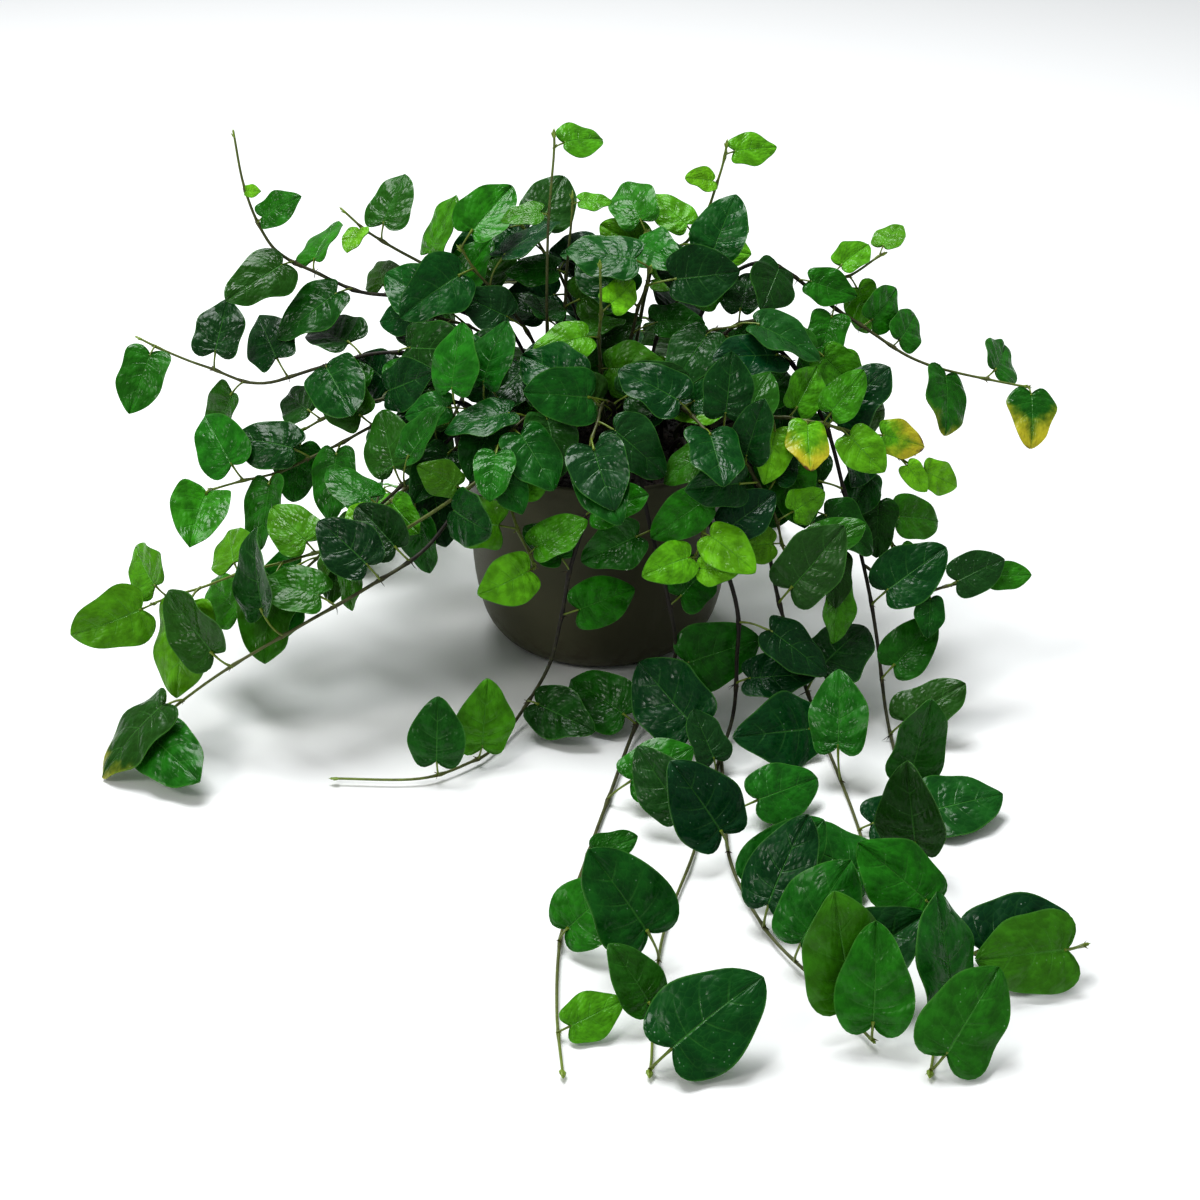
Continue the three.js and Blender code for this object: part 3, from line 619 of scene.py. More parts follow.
def make_peat_paint():
    paint, tree, shader = new_paint("damp peat")
    where = own_place(tree)
    crumb = wire(tree, "ShaderNodeTexVoronoi", {"Vector": where, "Scale": 380.0}, feature="F1")
    shade = wire(tree, "ShaderNodeSeparateColor", {"Color": crumb.outputs["Color"]}).outputs[0]
    damp = clouds(tree, where, 60.0, 4.0)
    tone = times(tree, shade, step_between(tree, damp, 0.35, 0.7))
    colour = blend_colour(tree, tone, PEAT_BLACK, PEAT_BROWN)
    fine = clouds(tree, where, 900.0, 5.0)
    height = sums(tree, "MULTIPLY_ADD", crumb.outputs["Distance"], -1.0, fine)
    bump = bumps(tree, 0.9, 0.0012, height)
    rough = step_between(tree, damp, 0.3, 0.7, 0.72, 0.95)
    connect(tree, shader, Base_Color=colour, Roughness=rough, Normal=bump)
    return paint


peat_paint = make_peat_paint()
peat_piece.data.materials.append(peat_paint)
print("peat material made")

# %% [markdown]
# ## Loose crumbs on the peat
#
# A rough surface alone still looks moulded. Real peat has loose crumbs and bits of fibre lying on it.
# Geometry Nodes scatter them: points are dealt over the top of the peat, each gets a small angular lump
# with its own turn and size, and the lumps are made real at the end, because copies that are only
# instances would be lost when the model leaves Blender.

# %% Crumb tree
CRUMBS = {"Density": 90000.0, "Smallest": 0.0005, "Largest": 0.0017, "Lowest Height": 0.0845, "Seed": 7}


def new_geometry_tree(name, inputs):
    tree = bpy.data.node_groups.new(name, "GeometryNodeTree")
    face = tree.interface
    face.new_socket("Geometry", in_out="INPUT", socket_type="NodeSocketGeometry")
    for label, kind in inputs:
        face.new_socket(label, in_out="INPUT", socket_type=kind)
    face.new_socket("Geometry", in_out="OUTPUT", socket_type="NodeSocketGeometry")
    return tree, tree.nodes.new("NodeGroupInput"), tree.nodes.new("NodeGroupOutput")


def settled(sketch, name, tree, values):
    """A plain mesh object from what a tree makes of a sketch, in place of the sketch."""
    maker = sketch.modifiers.new(tree.name, "NODES")
    maker.node_group = tree
    labels = {item.name: item.identifier for item in tree.interface.items_tree if item.in_out == "INPUT"}
    for label, value in values.items():
        maker[labels[label]] = value
    graph = bpy.context.evaluated_depsgraph_get()
    mesh = bpy.data.meshes.new_from_object(sketch.evaluated_get(graph), depsgraph=graph)
    mesh.name = name
    piece = bpy.data.objects.new(name, mesh)
    bpy.context.collection.objects.link(piece)
    bpy.data.objects.remove(sketch)
    return piece


def make_crumb_tree():
    inputs = [
        ("Density", "NodeSocketFloat"), ("Smallest", "NodeSocketFloat"), ("Largest", "NodeSocketFloat"),
        ("Lowest Height", "NodeSocketFloat"), ("Seed", "NodeSocketInt"), ("Peat", "NodeSocketMaterial"),
    ]
    tree, given, result = new_geometry_tree("peat crumbs", inputs)
    place = wire(tree, "GeometryNodeInputPosition").outputs[0]
    height = wire(tree, "ShaderNodeSeparateXYZ", {"Vector": place}).outputs[2]
    on_top = sums(tree, "GREATER_THAN", height, given.outputs["Lowest Height"])
    points = wire(tree, "GeometryNodeDistributePointsOnFaces", {
        "Mesh": given.outputs["Geometry"], "Selection": on_top,
        "Density": given.outputs["Density"], "Seed": given.outputs["Seed"],
    })
    lump = wire(tree, "GeometryNodeMeshIcoSphere", {"Radius": 1.0, "Subdivisions": 1})
    seed = {"Seed": given.outputs["Seed"]}
    smallest, largest = given.outputs["Smallest"], given.outputs["Largest"]
    size = wire(tree, "FunctionNodeRandomValue", {**seed, 2: smallest, 3: largest}, data_type="FLOAT")
    turn = wire(tree, "FunctionNodeRandomValue", {**seed, 1: (6.28, 6.28, 6.28)}, data_type="FLOAT_VECTOR")
    limits = {**seed, 0: (0.5, 0.6, 0.4), 1: (1.5, 1.1, 0.9)}
    stretch = wire(tree, "FunctionNodeRandomValue", limits, data_type="FLOAT_VECTOR")
    scale = scaled(tree, stretch.outputs[0], size.outputs[1])
    crumbs = wire(tree, "GeometryNodeInstanceOnPoints", {
        "Points": points.outputs["Points"], "Instance": lump.outputs["Mesh"],
        "Rotation": turn.outputs[0], "Scale": scale,
    })
    real = wire(tree, "GeometryNodeRealizeInstances", {"Geometry": crumbs.outputs[0]})
    both = wire(tree, "GeometryNodeJoinGeometry")
    tree.links.new(real.outputs[0], both.inputs[0])
    tree.links.new(given.outputs["Geometry"], both.inputs[0])
    painted = {"Geometry": both.outputs[0], "Material": given.outputs["Peat"]}
    tree.links.new(wire(tree, "GeometryNodeSetMaterial", painted).outputs[0], result.inputs[0])
    return tree


peat_piece = settled(peat_piece, "crumbly_peat", make_crumb_tree(), {**CRUMBS, "Peat": peat_paint})
print("peat with crumbs:", len(peat_piece.data.polygons), "faces")

# %% [markdown]
# ## Where every stem runs
#
# A creeping fig's stems root together in the peat and then each goes its own way. The list below repeats
# the frame's routes in millimetres: where the root's hole is, then the points that the stem passes
# through. Each leaf is [place along the route's points, side, length of the blade].
#
# A habit says how the leaves of a stem hold themselves: which way they face, and how far their tips lean
# on along the stem, spread sideways and rise. Side shoots have a route and leaves of their own.

# %% Roots, habits and leaf spacing
ROOT_DEPTH = 68.0
SOIL_TOP = 96.0


def root(x, y):
    return [[x, y, ROOT_DEPTH], [x, y, SOIL_TOP - 8], [x, y, SOIL_TOP + 4]]


def spaced(first, last, count, size, tip_size):
    """Leaves at even steps on alternate sides."""
    asked = []
    for i in range(count):
        share = i / (count - 1)
        side = -1 if i % 2 else 1
        asked.append([first + (last - first) * share, side, size + (tip_size - size) * share])
    return asked


def vine(name, tone, habit, foot, route, asked, shoots=()):
    """A stem rooted at foot, with the leaves asked of it and its side shoots."""
    parts = [{"route": [*root(*foot), *route], "leaves": asked}]
    parts += [{"route": line, "leaves": on_it} for line, on_it in shoots]
    return {"name": name, "tone": tone, "habit": habit, "parts": parts}


HANGING = {"face": [0, -0.8, 0.6], "lean": -0.25, "spread": 0.6, "rise": 0.7}
ON_TOP = {"face": [0, -0.55, 0.85], "lean": 0.5, "spread": 0.8, "rise": -0.25}
TO_LEFT = {"face": [-0.35, -0.65, 0.65], "lean": 0.35, "spread": 0.8, "rise": -0.3}
TO_RIGHT = {"face": [0.3, -0.7, 0.65], "lean": 0.35, "spread": 0.8, "rise": -0.25}
TO_BACK = {"face": [0, 0.45, 0.85], "lean": 0.4, "spread": 0.8, "rise": -0.3}

print("habits ready")

# %% The stems
STEMS = [
    vine("front_runner", "mid", HANGING, (-2, -32),
         [[-2, -54, 111], [-3, -71, 100], [-11, -80, 72], [-17, -85, 46], [-22, -88, 26], [-33, -92, 7],
          [-44, -116, 3], [-53, -128, 3], [-73, -141, 3], [-109, -141, 3]],
         [[4.4, -1, 24], [5.2, 1, 22], [5.9, -1, 27], [7.8, -1, 30], [9.8, 1, 28], [10.7, 1, 26]]),
    vine("middle_left", "mid", HANGING, (15, -34),
         [[17, -55, 111], [18, -71, 100], [28, -84, 56], [31, -86, 27], [17, -98, 6], [4, -150, 2],
          [-6, -199, 2], [-14, -244, 2], [-15, -289, 2], [-12, -322, 2]],
         [[4.4, 1, 26], [5.1, -1, 26], [6.1, -1, 33], [7.1, 1, 31], [8.1, -1, 28], [8.9, -1, 17],
          [10.1, 1, 30], [11.3, -1, 20]]),
    vine("middle_right", "dark", HANGING, (31, -28),
         [[35, -48, 112], [39, -66, 101], [56, -85, 56], [57, -92, 30], [56, -100, 9], [50, -122, 2],
          [44, -150, 2], [36, -193, 2], [22, -250, 2], [16, -322, 2]],
         [[4.5, 1, 26], [5.3, -1, 30], [6.4, -1, 28], [7.9, 1, 37], [8.5, -1, 22], [9.7, 1, 30],
          [11.15, 1, 36], [11.6, 1, 24], [11.95, -1, 38]],
         [([[50, -122, 2], [49, -198, 4], [59, -242, 3], [75, -274, 3], [91, -306, 3]],
           [[0.6, -1, 30], [0.95, -1, 34], [1.5, 1, 34], [2, -1, 35], [2.6, 1, 34], [3.1, -1, 36],
            [3.6, 1, 36], [3.95, -1, 34]])]),
    vine("right_main", "dark", HANGING, (46, 2),
         [[57, -2, 126], [77, -6, 138], [95, -26, 115], [105, -45, 88], [112, -64, 62], [117, -78, 36],
          [121, -92, 8], [122, -119, 2], [122, -160, 2], [122, -200, 2], [121, -258, 2], [107, -322, 2]],
         [[4.3, 1, 30], [5.2, -1, 30], [6, 1, 34], [7.6, 1, 33], [8.6, -1, 28], [9.6, 1, 30], [10.6, 1, 32],
          [11.3, -1, 32], [11.9, 1, 34], [12.6, -1, 33], [13.1, -1, 34], [13.6, 1, 36], [13.95, -1, 34]],
         [([[112, -64, 62], [130, -70, 52], [149, -70, 55], [164, -65, 57]],
           [[1.5, 1, 17], [1.9, -1, 22], [2.9, 1, 17]]),
          ([[121, -250, 2], [136, -262, 5], [152, -266, 8], [170, -264, 12]],
           [[1.3, 1, 28], [2.9, 1, 33]])]),
    vine("right_second", "dark", HANGING, (44, -18),
         [[54, -37, 113], [64, -56, 100], [74, -80, 56], [84, -92, 25], [93, -111, 6], [99, -157, 2],
          [102, -206, 2], [104, -240, 2]],
         [[4.3, 1, 28], [5.1, -1, 34], [5.7, 1, 36], [6.3, -1, 34], [6.9, 1, 34], [7.7, 1, 32],
          [8.4, -1, 26], [9.2, 1, 34], [9.9, -1, 24]]),
    vine("right_cluster", "young", TO_RIGHT, (35, -3),
         [[52, -20, 117], [72, -32, 117], [92, -40, 117], [113, -42, 111], [136, -44, 97]],
         spaced(3.3, 6.95, 11, 26, 18)),
    vine("right_low", "mid", TO_RIGHT, (50, -8),
         [[62, -24, 112], [76, -38, 103], [88, -52, 84], [98, -66, 60], [104, -76, 40]],
         spaced(3.7, 6.95, 8, 28, 24)),
    vine("right_rim", "mid", HANGING, (38, -24),
         [[48, -42, 113], [61, -56, 105], [72, -66, 88], [80, -72, 64]],
         spaced(3.3, 5.95, 8, 26, 24)),
    vine("right_fall", "dark", TO_RIGHT, (50, 12),
         [[66, 14, 114], [88, 10, 112], [108, 0, 98], [122, -14, 76], [130, -26, 52]],
         spaced(3.5, 6.95, 9, 26, 24)),
    vine("right_crown", "mid", TO_RIGHT, (37, 12),
         [[48, 14, 130], [64, 14, 143], [82, 10, 142], [98, 4, 130]],
         spaced(2.6, 5.95, 9, 26, 22)),
    vine("right_upper", "mid", {**TO_RIGHT, "rise": -0.8}, (30, 22),
         [[40, 24, 130], [53, 27, 156], [74, 32, 165], [98, 30, 150], [121, 20, 136], [139, 12, 127],
          [165, 5, 121], [190, 0, 118]],
         [[4, -1, 25], [5.2, 1, 25], [5.6, -1, 22], [6.3, 1, 30], [6.8, -1, 24], [7.5, -1, 22], [8.4, 1, 30],
          [9.2, -1, 26], [9.95, 1, 26]],
         [([[92, 31, 155], [102, 36, 157], [113, 40, 157], [130, 50, 164]],
           [[1.2, -1, 20], [1.9, 1, 22], [2.8, -1, 18]])]),
    vine("upper_right", "young", TO_RIGHT, (14, 28),
         [[17, 31, 134], [25, 42, 163], [41, 54, 169], [52, 60, 190], [57, 62, 212]],
         [[3.6, 1, 24], [4.1, -1, 24], [4.6, 1, 27], [5.1, -1, 24], [5.6, 1, 18], [6.1, -1, 15],
          [6.7, 1, 21]]),
    vine("upright_tall", "mid", ON_TOP, (-22, -4),
         [[-23, -3, 140], [-22, -2, 181], [-19, -5, 233]],
         [[2.3, 1, 27], [2.7, -1, 27], [3.0, 1, 24], [4.3, -1, 17], [4.85, 1, 20]]),
    vine("upright_middle", "mid", ON_TOP, (-12, 20),
         [[-16, 21, 138], [-14, 24, 168], [-12, 28, 198]],
         [[2.3, -1, 28], [2.6, 1, 28], [2.9, -1, 27], [3.3, 1, 26], [3.8, -1, 22], [4.8, 1, 14]]),
    vine("upright_short", "young", ON_TOP, (2, -12),
         [[0, -12, 134], [0, -15, 159], [0, -18, 181]],
         [[2.2, 1, 28], [2.5, -1, 27], [2.9, 1, 26], [3.4, -1, 24], [3.9, 1, 20]]),
    vine("left_olive", "olive", TO_LEFT, (-20, -34),
         [[-28, -53, 116], [-40, -67, 110], [-66, -80, 95], [-89, -85, 83], [-111, -86, 79], [-145, -87, 70],
          [-187, -90, 56]],
         [[4.6, 1, 18], [6, 1, 17], [6.5, -1, 22], [7.2, 1, 24], [7.6, -1, 34], [8.1, 1, 24], [8.5, -1, 38],
          [8.8, 1, 26], [8.95, -1, 30]]),
    vine("left_dark", "dark", {**TO_LEFT, "lean": 0.2, "rise": 0.4}, (-34, -22),
         [[-46, -44, 112], [-54, -61, 98], [-71, -88, 81], [-94, -105, 71], [-121, -114, 58],
          [-156, -120, 38], [-190, -122, 12]],
         [[4.3, -1, 28], [5.3, 1, 26], [5.8, 1, 28], [6.5, 1, 28], [7.2, 1, 34], [7.8, 1, 34], [8.4, 1, 38],
          [8.95, -1, 34]]),
    vine("left_mid", "dark", TO_LEFT, (-44, -10),
         [[-55, -16, 114], [-70, -21, 119], [-100, -24, 108], [-135, -30, 92], [-170, -36, 84]],
         spaced(3.3, 6.95, 10, 30, 30)),
    vine("left_low", "dark", TO_LEFT, (-46, -18),
         [[-60, -32, 109], [-74, -46, 100], [-98, -58, 82], [-128, -66, 58], [-150, -70, 36]],
         spaced(3.6, 6.95, 9, 29, 29)),
    vine("left_inner", "dark", TO_LEFT, (-51, -2),
         [[-63, -4, 112], [-84, -8, 117], [-108, -12, 113], [-132, -14, 103]],
         spaced(3.3, 5.95, 8, 27, 26)),
    vine("left_hang", "mid", {**TO_LEFT, "rise": 0.3}, (-43, -27),
         [[-56, -42, 110], [-69, -54, 101], [-84, -62, 94], [-98, -71, 84]],
         spaced(3.3, 5.95, 8, 27, 25)),
    vine("left_far", "dark", {**TO_LEFT, "rise": -0.7}, (-42, 6),
         [[-57, 4, 122], [-88, 0, 134], [-120, 0, 128], [-148, 0, 120], [-176, 5, 126], [-205, 10, 138]],
         [[3.5, 1, 30], [4, -1, 31], [4.5, 1, 30], [5, -1, 32], [5.6, 1, 31], [6.3, -1, 28], [6.8, 1, 26],
          [7.7, -1, 28]]),
    vine("left_upright", "mid", TO_LEFT, (-33, 18),
         [[-48, 20, 136], [-76, 23, 150], [-106, 24, 154], [-138, 30, 167], [-150, 35, 178], [-157, 38, 198],
          [-160, 40, 222]],
         [[3.6, 1, 28], [4.1, -1, 34], [4.6, 1, 24], [5.1, -1, 33], [5.6, 1, 26], [5.9, -1, 30],
          [7.2, 1, 20], [7.9, 1, 8]]),
    vine("left_upper", "mid", {**TO_LEFT, "rise": 0.4}, (-26, 30),
         [[-42, 30, 136], [-66, 32, 156], [-97, 36, 173], [-115, 38, 188]],
         [[3.4, 1, 28], [3.9, -1, 30], [4.3, 1, 28], [5, 1, 27], [5.4, -1, 14]]),
    vine("crown_left", "dark", {**ON_TOP, "face": [-0.3, -0.6, 0.75]}, (-17, 8),
         [[-30, 8, 138], [-48, 10, 160], [-62, 14, 178]],
         spaced(2.2, 4.9, 7, 30, 32)),
    vine("crown_front_left", "dark", {**ON_TOP, "face": [-0.15, -0.7, 0.7]}, (-12, -20),
         [[-17, -35, 117], [-27, -48, 124], [-38, -61, 121], [-47, -72, 111]],
         spaced(2.2, 5.9, 8, 28, 28)),
    vine("crown_front", "dark", {**ON_TOP, "face": [0, -0.75, 0.66]}, (8, -18),
         [[6, -33, 120], [2, -46, 128], [-2, -61, 124], [-6, -73, 113]],
         spaced(2.2, 5.9, 8, 28, 29)),
    vine("crown_front_right", "dark", {**ON_TOP, "face": [0.15, -0.7, 0.7]}, (24, -14),
         [[29, -29, 118], [36, -44, 124], [45, -58, 119], [55, -68, 107]],
         spaced(2.2, 5.9, 8, 28, 29)),
    vine("crown_right", "dark", {**ON_TOP, "face": [0.25, -0.6, 0.75]}, (28, 6),
         [[34, 4, 130], [45, 0, 143], [60, -4, 148]],
         spaced(2.2, 4.9, 6, 29, 31)),
    vine("crown_middle", "dark", ON_TOP, (8, 8),
         [[12, 8, 132], [18, 6, 156], [22, 4, 172]],
         spaced(2.2, 4.9, 6, 29, 30)),
    vine("crown_back", "dark", ON_TOP, (1, 22),
         [[4, 26, 138], [10, 33, 162], [22, 38, 178]],
         spaced(2.2, 4.9, 8, 29, 28)),
    vine("crown_back_left", "dark", {**ON_TOP, "face": [-0.2, -0.6, 0.8]}, (-4, 34),
         [[-10, 36, 138], [-22, 40, 163], [-36, 44, 180]],
         spaced(2.2, 4.9, 8, 29, 29)),
    vine("crown_back_right", "dark", {**ON_TOP, "face": [0.2, -0.6, 0.8]}, (20, 16),
         [[25, 18, 134], [36, 22, 152], [50, 24, 166]],
         spaced(2.2, 4.9, 8, 29, 28)),
    vine("crown_far_left", "dark", {**ON_TOP, "face": [-0.3, -0.65, 0.7]}, (-30, 8),
         [[-44, 6, 134], [-62, 5, 146], [-80, 4, 150]],
         spaced(2.3, 4.9, 8, 29, 29)),
    vine("crown_low_left", "dark", {**ON_TOP, "face": [-0.2, -0.75, 0.65]}, (-24, -24),
         [[-36, -34, 118], [-50, -42, 124], [-66, -46, 119]],
         spaced(2.4, 4.9, 8, 27, 28)),
    vine("front_short_left", "young", HANGING, (-30, -34),
         [[-36, -52, 108], [-39, -68, 99], [-33, -80, 84], [-27, -84, 70]],
         [[4.2, -1, 22], [4.9, 1, 26], [5.6, -1, 24], [5.95, 1, 24]]),
    vine("front_short_right", "young", HANGING, (40, -34),
         [[46, -52, 108], [48, -69, 100], [42, -80, 82], [38, -86, 68]],
         [[4.1, 1, 26], [4.9, -1, 24], [5.5, 1, 22], [5.9, -1, 17]]),
    vine("back_left", "mid", {**TO_BACK, "face": [-0.3, 0.45, 0.8]}, (-30, 42),
         [[-44, 58, 112], [-58, 76, 100], [-74, 96, 62], [-86, 112, 24], [-98, 128, 6], [-118, 152, 3]],
         spaced(3.4, 7.9, 9, 30, 20)),
    vine("back_middle", "dark", TO_BACK, (-6, 44),
         [[-9, 62, 113], [-11, 80, 101], [-16, 96, 60], [-20, 108, 22], [-24, 124, 6], [-22, 160, 3]],
         spaced(3.4, 7.9, 9, 31, 20)),
    vine("back_right", "mid", {**TO_BACK, "face": [0.3, 0.45, 0.8]}, (26, 42),
         [[38, 60, 112], [46, 76, 100], [56, 96, 60], [64, 110, 22], [72, 128, 6], [88, 154, 3]],
         spaced(3.4, 7.9, 9, 30, 20)),
    vine("back_short", "mid", TO_BACK, (10, 38),
         [[13, 56, 120], [16, 76, 122], [18, 98, 112], [20, 114, 92]],
         spaced(3.0, 5.9, 6, 30, 20)),
    vine("back_upper", "dark", TO_BACK, (-14, 36),
         [[-20, 46, 132], [-30, 62, 142], [-44, 80, 140], [-58, 94, 128]],
         spaced(2.6, 5.9, 7, 31, 22)),
    vine("side_right", "mid", {**TO_RIGHT, "face": [0.6, 0.1, 0.75]}, (46, 28),
         [[62, 40, 112], [78, 50, 103], [92, 60, 70], [100, 66, 34], [108, 70, 8]],
         spaced(3.4, 6.9, 8, 29, 20)),
    vine("side_left", "mid", {**TO_LEFT, "face": [-0.6, 0.15, 0.75]}, (-46, 30),
         [[-62, 42, 112], [-80, 52, 104], [-98, 62, 72], [-108, 70, 36], [-116, 74, 10]],
         spaced(3.4, 6.9, 8, 29, 20)),
]
asked_for = sum(len(part["leaves"]) for stem in STEMS for part in stem["parts"])
print("stems:", len(STEMS), "leaves asked for:", asked_for)

# %% [markdown]
# ## The rule for the leaves
#
# The same rule that set the leaves in the frame is followed here step by step, with the same seeded
# draws, so every blade lands in the frame's place. A leaf stands out from its stem on a short stalk, and
# takes the first small turn, lift or longer stalk that keeps it clear of the pot, the stems and the
# leaves that are already there. Leaves that find no room are left out, as crowded leaves are on a plant.

# %% Small vector helpers
def plus(a, b, scale=1.0):
    return (a[0] + b[0] * scale, a[1] + b[1] * scale, a[2] + b[2] * scale)


def minus(a, b):
    return (a[0] - b[0], a[1] - b[1], a[2] - b[2])


def dot(a, b):
    return a[0] * b[0] + a[1] * b[1] + a[2] * b[2]


def cross(a, b):
    return (a[1] * b[2] - a[2] * b[1], a[2] * b[0] - a[0] * b[2], a[0] * b[1] - a[1] * b[0])


def length(a):
    return math.sqrt(dot(a, a))


def unit(a):
    size = length(a)
    return (a[0] / size, a[1] / size, a[2] / size)


def turned(vector, axis, angle):
    """vector, which is square to axis, turned about it."""
    beside = cross(axis, vector)
    return plus(tuple(c * math.cos(angle) for c in vector), beside, math.sin(angle))


def draws_from(seed):
    state = seed * 7919 + 17
    while True:
        state = (state * 48271) % 2147483647
        yield state / 2147483647


print("first draws:", [round(d, 4) for _, d in zip(range(3), draws_from(1))])

# %% The blade's outline and swell
HALF_OUTLINE = [(0.03, 0.02), (0.29, -0.1), (0.44, 0.47)]
WIDEST = 0.43
RIM = HALF_OUTLINE + [(0, 1)] + [(-u, v) for u, v in reversed(HALF_OUTLINE)]
RIBS = [
    RIM,
    [(0, 0), (0, 0.35), (0, 0.7), (0, 1)],
    [(-0.4, 0.2), (-0.2, 0.2), (0, 0.2), (0.2, 0.2), (0.4, 0.2)],
    [(-0.36, 0.55), (-0.18, 0.55), (0, 0.55), (0.18, 0.55), (0.36, 0.55)],
]


def half_width(share):
    """Half a blade's width at a share of its length, before the leaf's own breadth."""
    if share < 0.3:
        return WIDEST * math.sqrt(1 - ((0.3 - share) / 0.44) ** 2)
    return WIDEST * (1 - ((share - 0.3) / 0.7) ** 1.9) ** 0.85


def swell(leaf, across, along):
    waved = 0.05 * math.sin(6 * along + leaf["wave"]) * abs(across)
    return leaf["cup"] * across * across - leaf["droop"] * along * along + waved


def to_leaf(leaf, point):
    away = minus(point, leaf["base"])
    size = leaf["size"]
    return dot(away, leaf["side"]) / size, dot(away, leaf["tip"]) / size, dot(away, leaf["face"]) / size


def from_leaf(leaf, across, along, off):
    size = leaf["size"]
    point = plus(leaf["base"], leaf["side"], across * size)
    return plus(plus(point, leaf["tip"], along * size), leaf["face"], off * size)


def blade_point(leaf, u, v):
    """A point on the middle sheet of a blade, from its place in the common outline."""
    across = u * leaf["breadth"]
    return from_leaf(leaf, across, v, swell(leaf, across, v))


print("half outline of a blade:", HALF_OUTLINE)

# %% Keeping clear
BLADE_CLEARANCE = 1.0
STEM_CLEARANCE = 2.2
POT_CLEARANCE = 2.4
FLOOR_CLEARANCE = 1.4
RIM_CLEARANCE = 4.0
OWN_STEM_REACH = 9.0


def pierces(leaf, chain, gap):
    margin = gap / leaf["size"]
    before = None
    for point in chain:
        across, along, off = to_leaf(leaf, point)
        inside = abs(across) < leaf["breadth"] * half_width(min(max(along, -0.1), 0.97)) + margin
        within = inside and -0.13 - margin < along < 1 + margin
        above = off - swell(leaf, across, along)
        if within and abs(above) < margin:
            return True
        if before and (within or before[0]) and above * before[1] < 0:
            return True
        before = (within, above)
    return False


def pot_radius(z):
    outside = pot_outside()[:-1] + [(POT["rim"], POT["height"] - 1), (POT["rim"] - 0.4, POT["height"])]
    for (r0, z0), (r1, z1) in zip(outside, outside[1:]):
        if z <= z1:
            return r0 + (r1 - r0) * (z - z0) / (z1 - z0)
    return POT["rim"]


def clear_of_pot(point):
    x, y, z = point
    if z < FLOOR_CLEARANCE:
        return False
    if z > POT["height"] + RIM_CLEARANCE:
        return True
    return math.hypot(x, y) > pot_radius(min(z, POT["height"])) + POT_CLEARANCE


def clear_of_leaves(leaf, grown):
    stalk = (leaf["root"], leaf["base"])
    for other in grown:
        if length(minus(other["base"], leaf["base"])) > other["size"] + leaf["size"] + 8:
            continue
        if pierces(other, stalk, BLADE_CLEARANCE):
            return False
        if pierces(leaf, (other["root"], other["base"]), BLADE_CLEARANCE):
            return False
        sizes = sorted((leaf["size"], other["size"]))
        if length(minus(other["middle"], leaf["middle"])) > 1.25 * sizes[1] + 0.25 * sizes[0] + 1.5:
            continue
        if any(pierces(other, line, BLADE_CLEARANCE) for line in leaf["lines"]):
            return False
        if any(pierces(leaf, line, BLADE_CLEARANCE) for line in other["lines"]):
            return False
    return True


def clear_of_stems(leaf, chains):
    for owner, points in chains:
        near = np.linalg.norm(points - leaf["base"], axis=1) < leaf["size"] + 10
        if owner == leaf["stem"]:
            near &= np.linalg.norm(points - leaf["root"], axis=1) > OWN_STEM_REACH
        if near.any() and pierces(leaf, points[near].tolist(), STEM_CLEARANCE):
            return False
    return True


print("clearances in millimetres:", BLADE_CLEARANCE, STEM_CLEARANCE, POT_CLEARANCE)

# %% Growing the leaves
STALK_LENGTH = 0.3
TURNS = [0, 0.35, -0.35, 0.7, -0.7, 1.1, -1.1, 1.6, -1.6]
LIFTS = [0, 0.5, -0.35]
REACHES = [1, 1.8]
SHRINKS = [1, 0.76]


def leaf_on(stem, route, place, side, size, draws, turn, lift, reach):
    share = place / (len(route) - 1)
    foot = tuple(curve_point(route, share))
    ahead = curve_point(route, min(share + 0.002, 1))
    behind = curve_point(route, max(share - 0.002, 0))
    along = unit(minus(ahead, behind))
    habit = stem["habit"]
    face = unit((habit["face"][0] + 1.1 * (draws[0] - 0.5), habit["face"][1] + 0.8 * (draws[1] - 0.5),
                 habit["face"][2] + 0.8 * (draws[2] - 0.5) + lift))
    across = unit(cross(along, face))
    tip = tuple(c * side * habit["spread"] for c in across)
    tip = plus(tip, along, habit["lean"] + 0.5 * (draws[3] - 0.5))
    tip = (tip[0], tip[1], tip[2] + habit["rise"])
    tip = unit(plus(tip, face, -dot(tip, face)))
    tip = turned(tip, face, turn + 0.5 * (draws[4] - 0.5))
    stalk = size * STALK_LENGTH * reach * (0.8 + 0.4 * draws[5])
    base = plus(plus(foot, tip, 0.8 * stalk), face, 0.55 * stalk)
    leaf = {
        "stem": stem["name"], "place": share, "along": along, "root": foot, "size": size,
        "base": base, "middle": plus(base, tip, 0.45 * size),
        "tip": tip, "face": face, "side": cross(tip, face),
        "cup": 0.5 * (draws[6] - 0.65), "droop": 0.04 + 0.14 * draws[7], "wave": 6.28 * draws[8],
        "breadth": 0.84 + 0.2 * draws[9],
    }
    leaf["lines"] = [[blade_point(leaf, u, v) for u, v in rib] for rib in RIBS]
    return leaf


def first_clear(stem, route, asked, draws, grown, chains):
    place, side, size = asked
    for shrink, reach, lift, turn in product(SHRINKS, REACHES, LIFTS, TURNS):
        leaf = leaf_on(stem, route, place, side, size * shrink, draws, turn, lift, reach)
        if not all(clear_of_pot(point) for line in leaf["lines"] for point in line):
            continue
        if clear_of_leaves(leaf, grown) and clear_of_stems(leaf, chains):
            return leaf
    return None


def beads(route):
    count = (len(route) - 1) * 6
    return np.array([curve_point(route, i / count) for i in range(count + 1)])


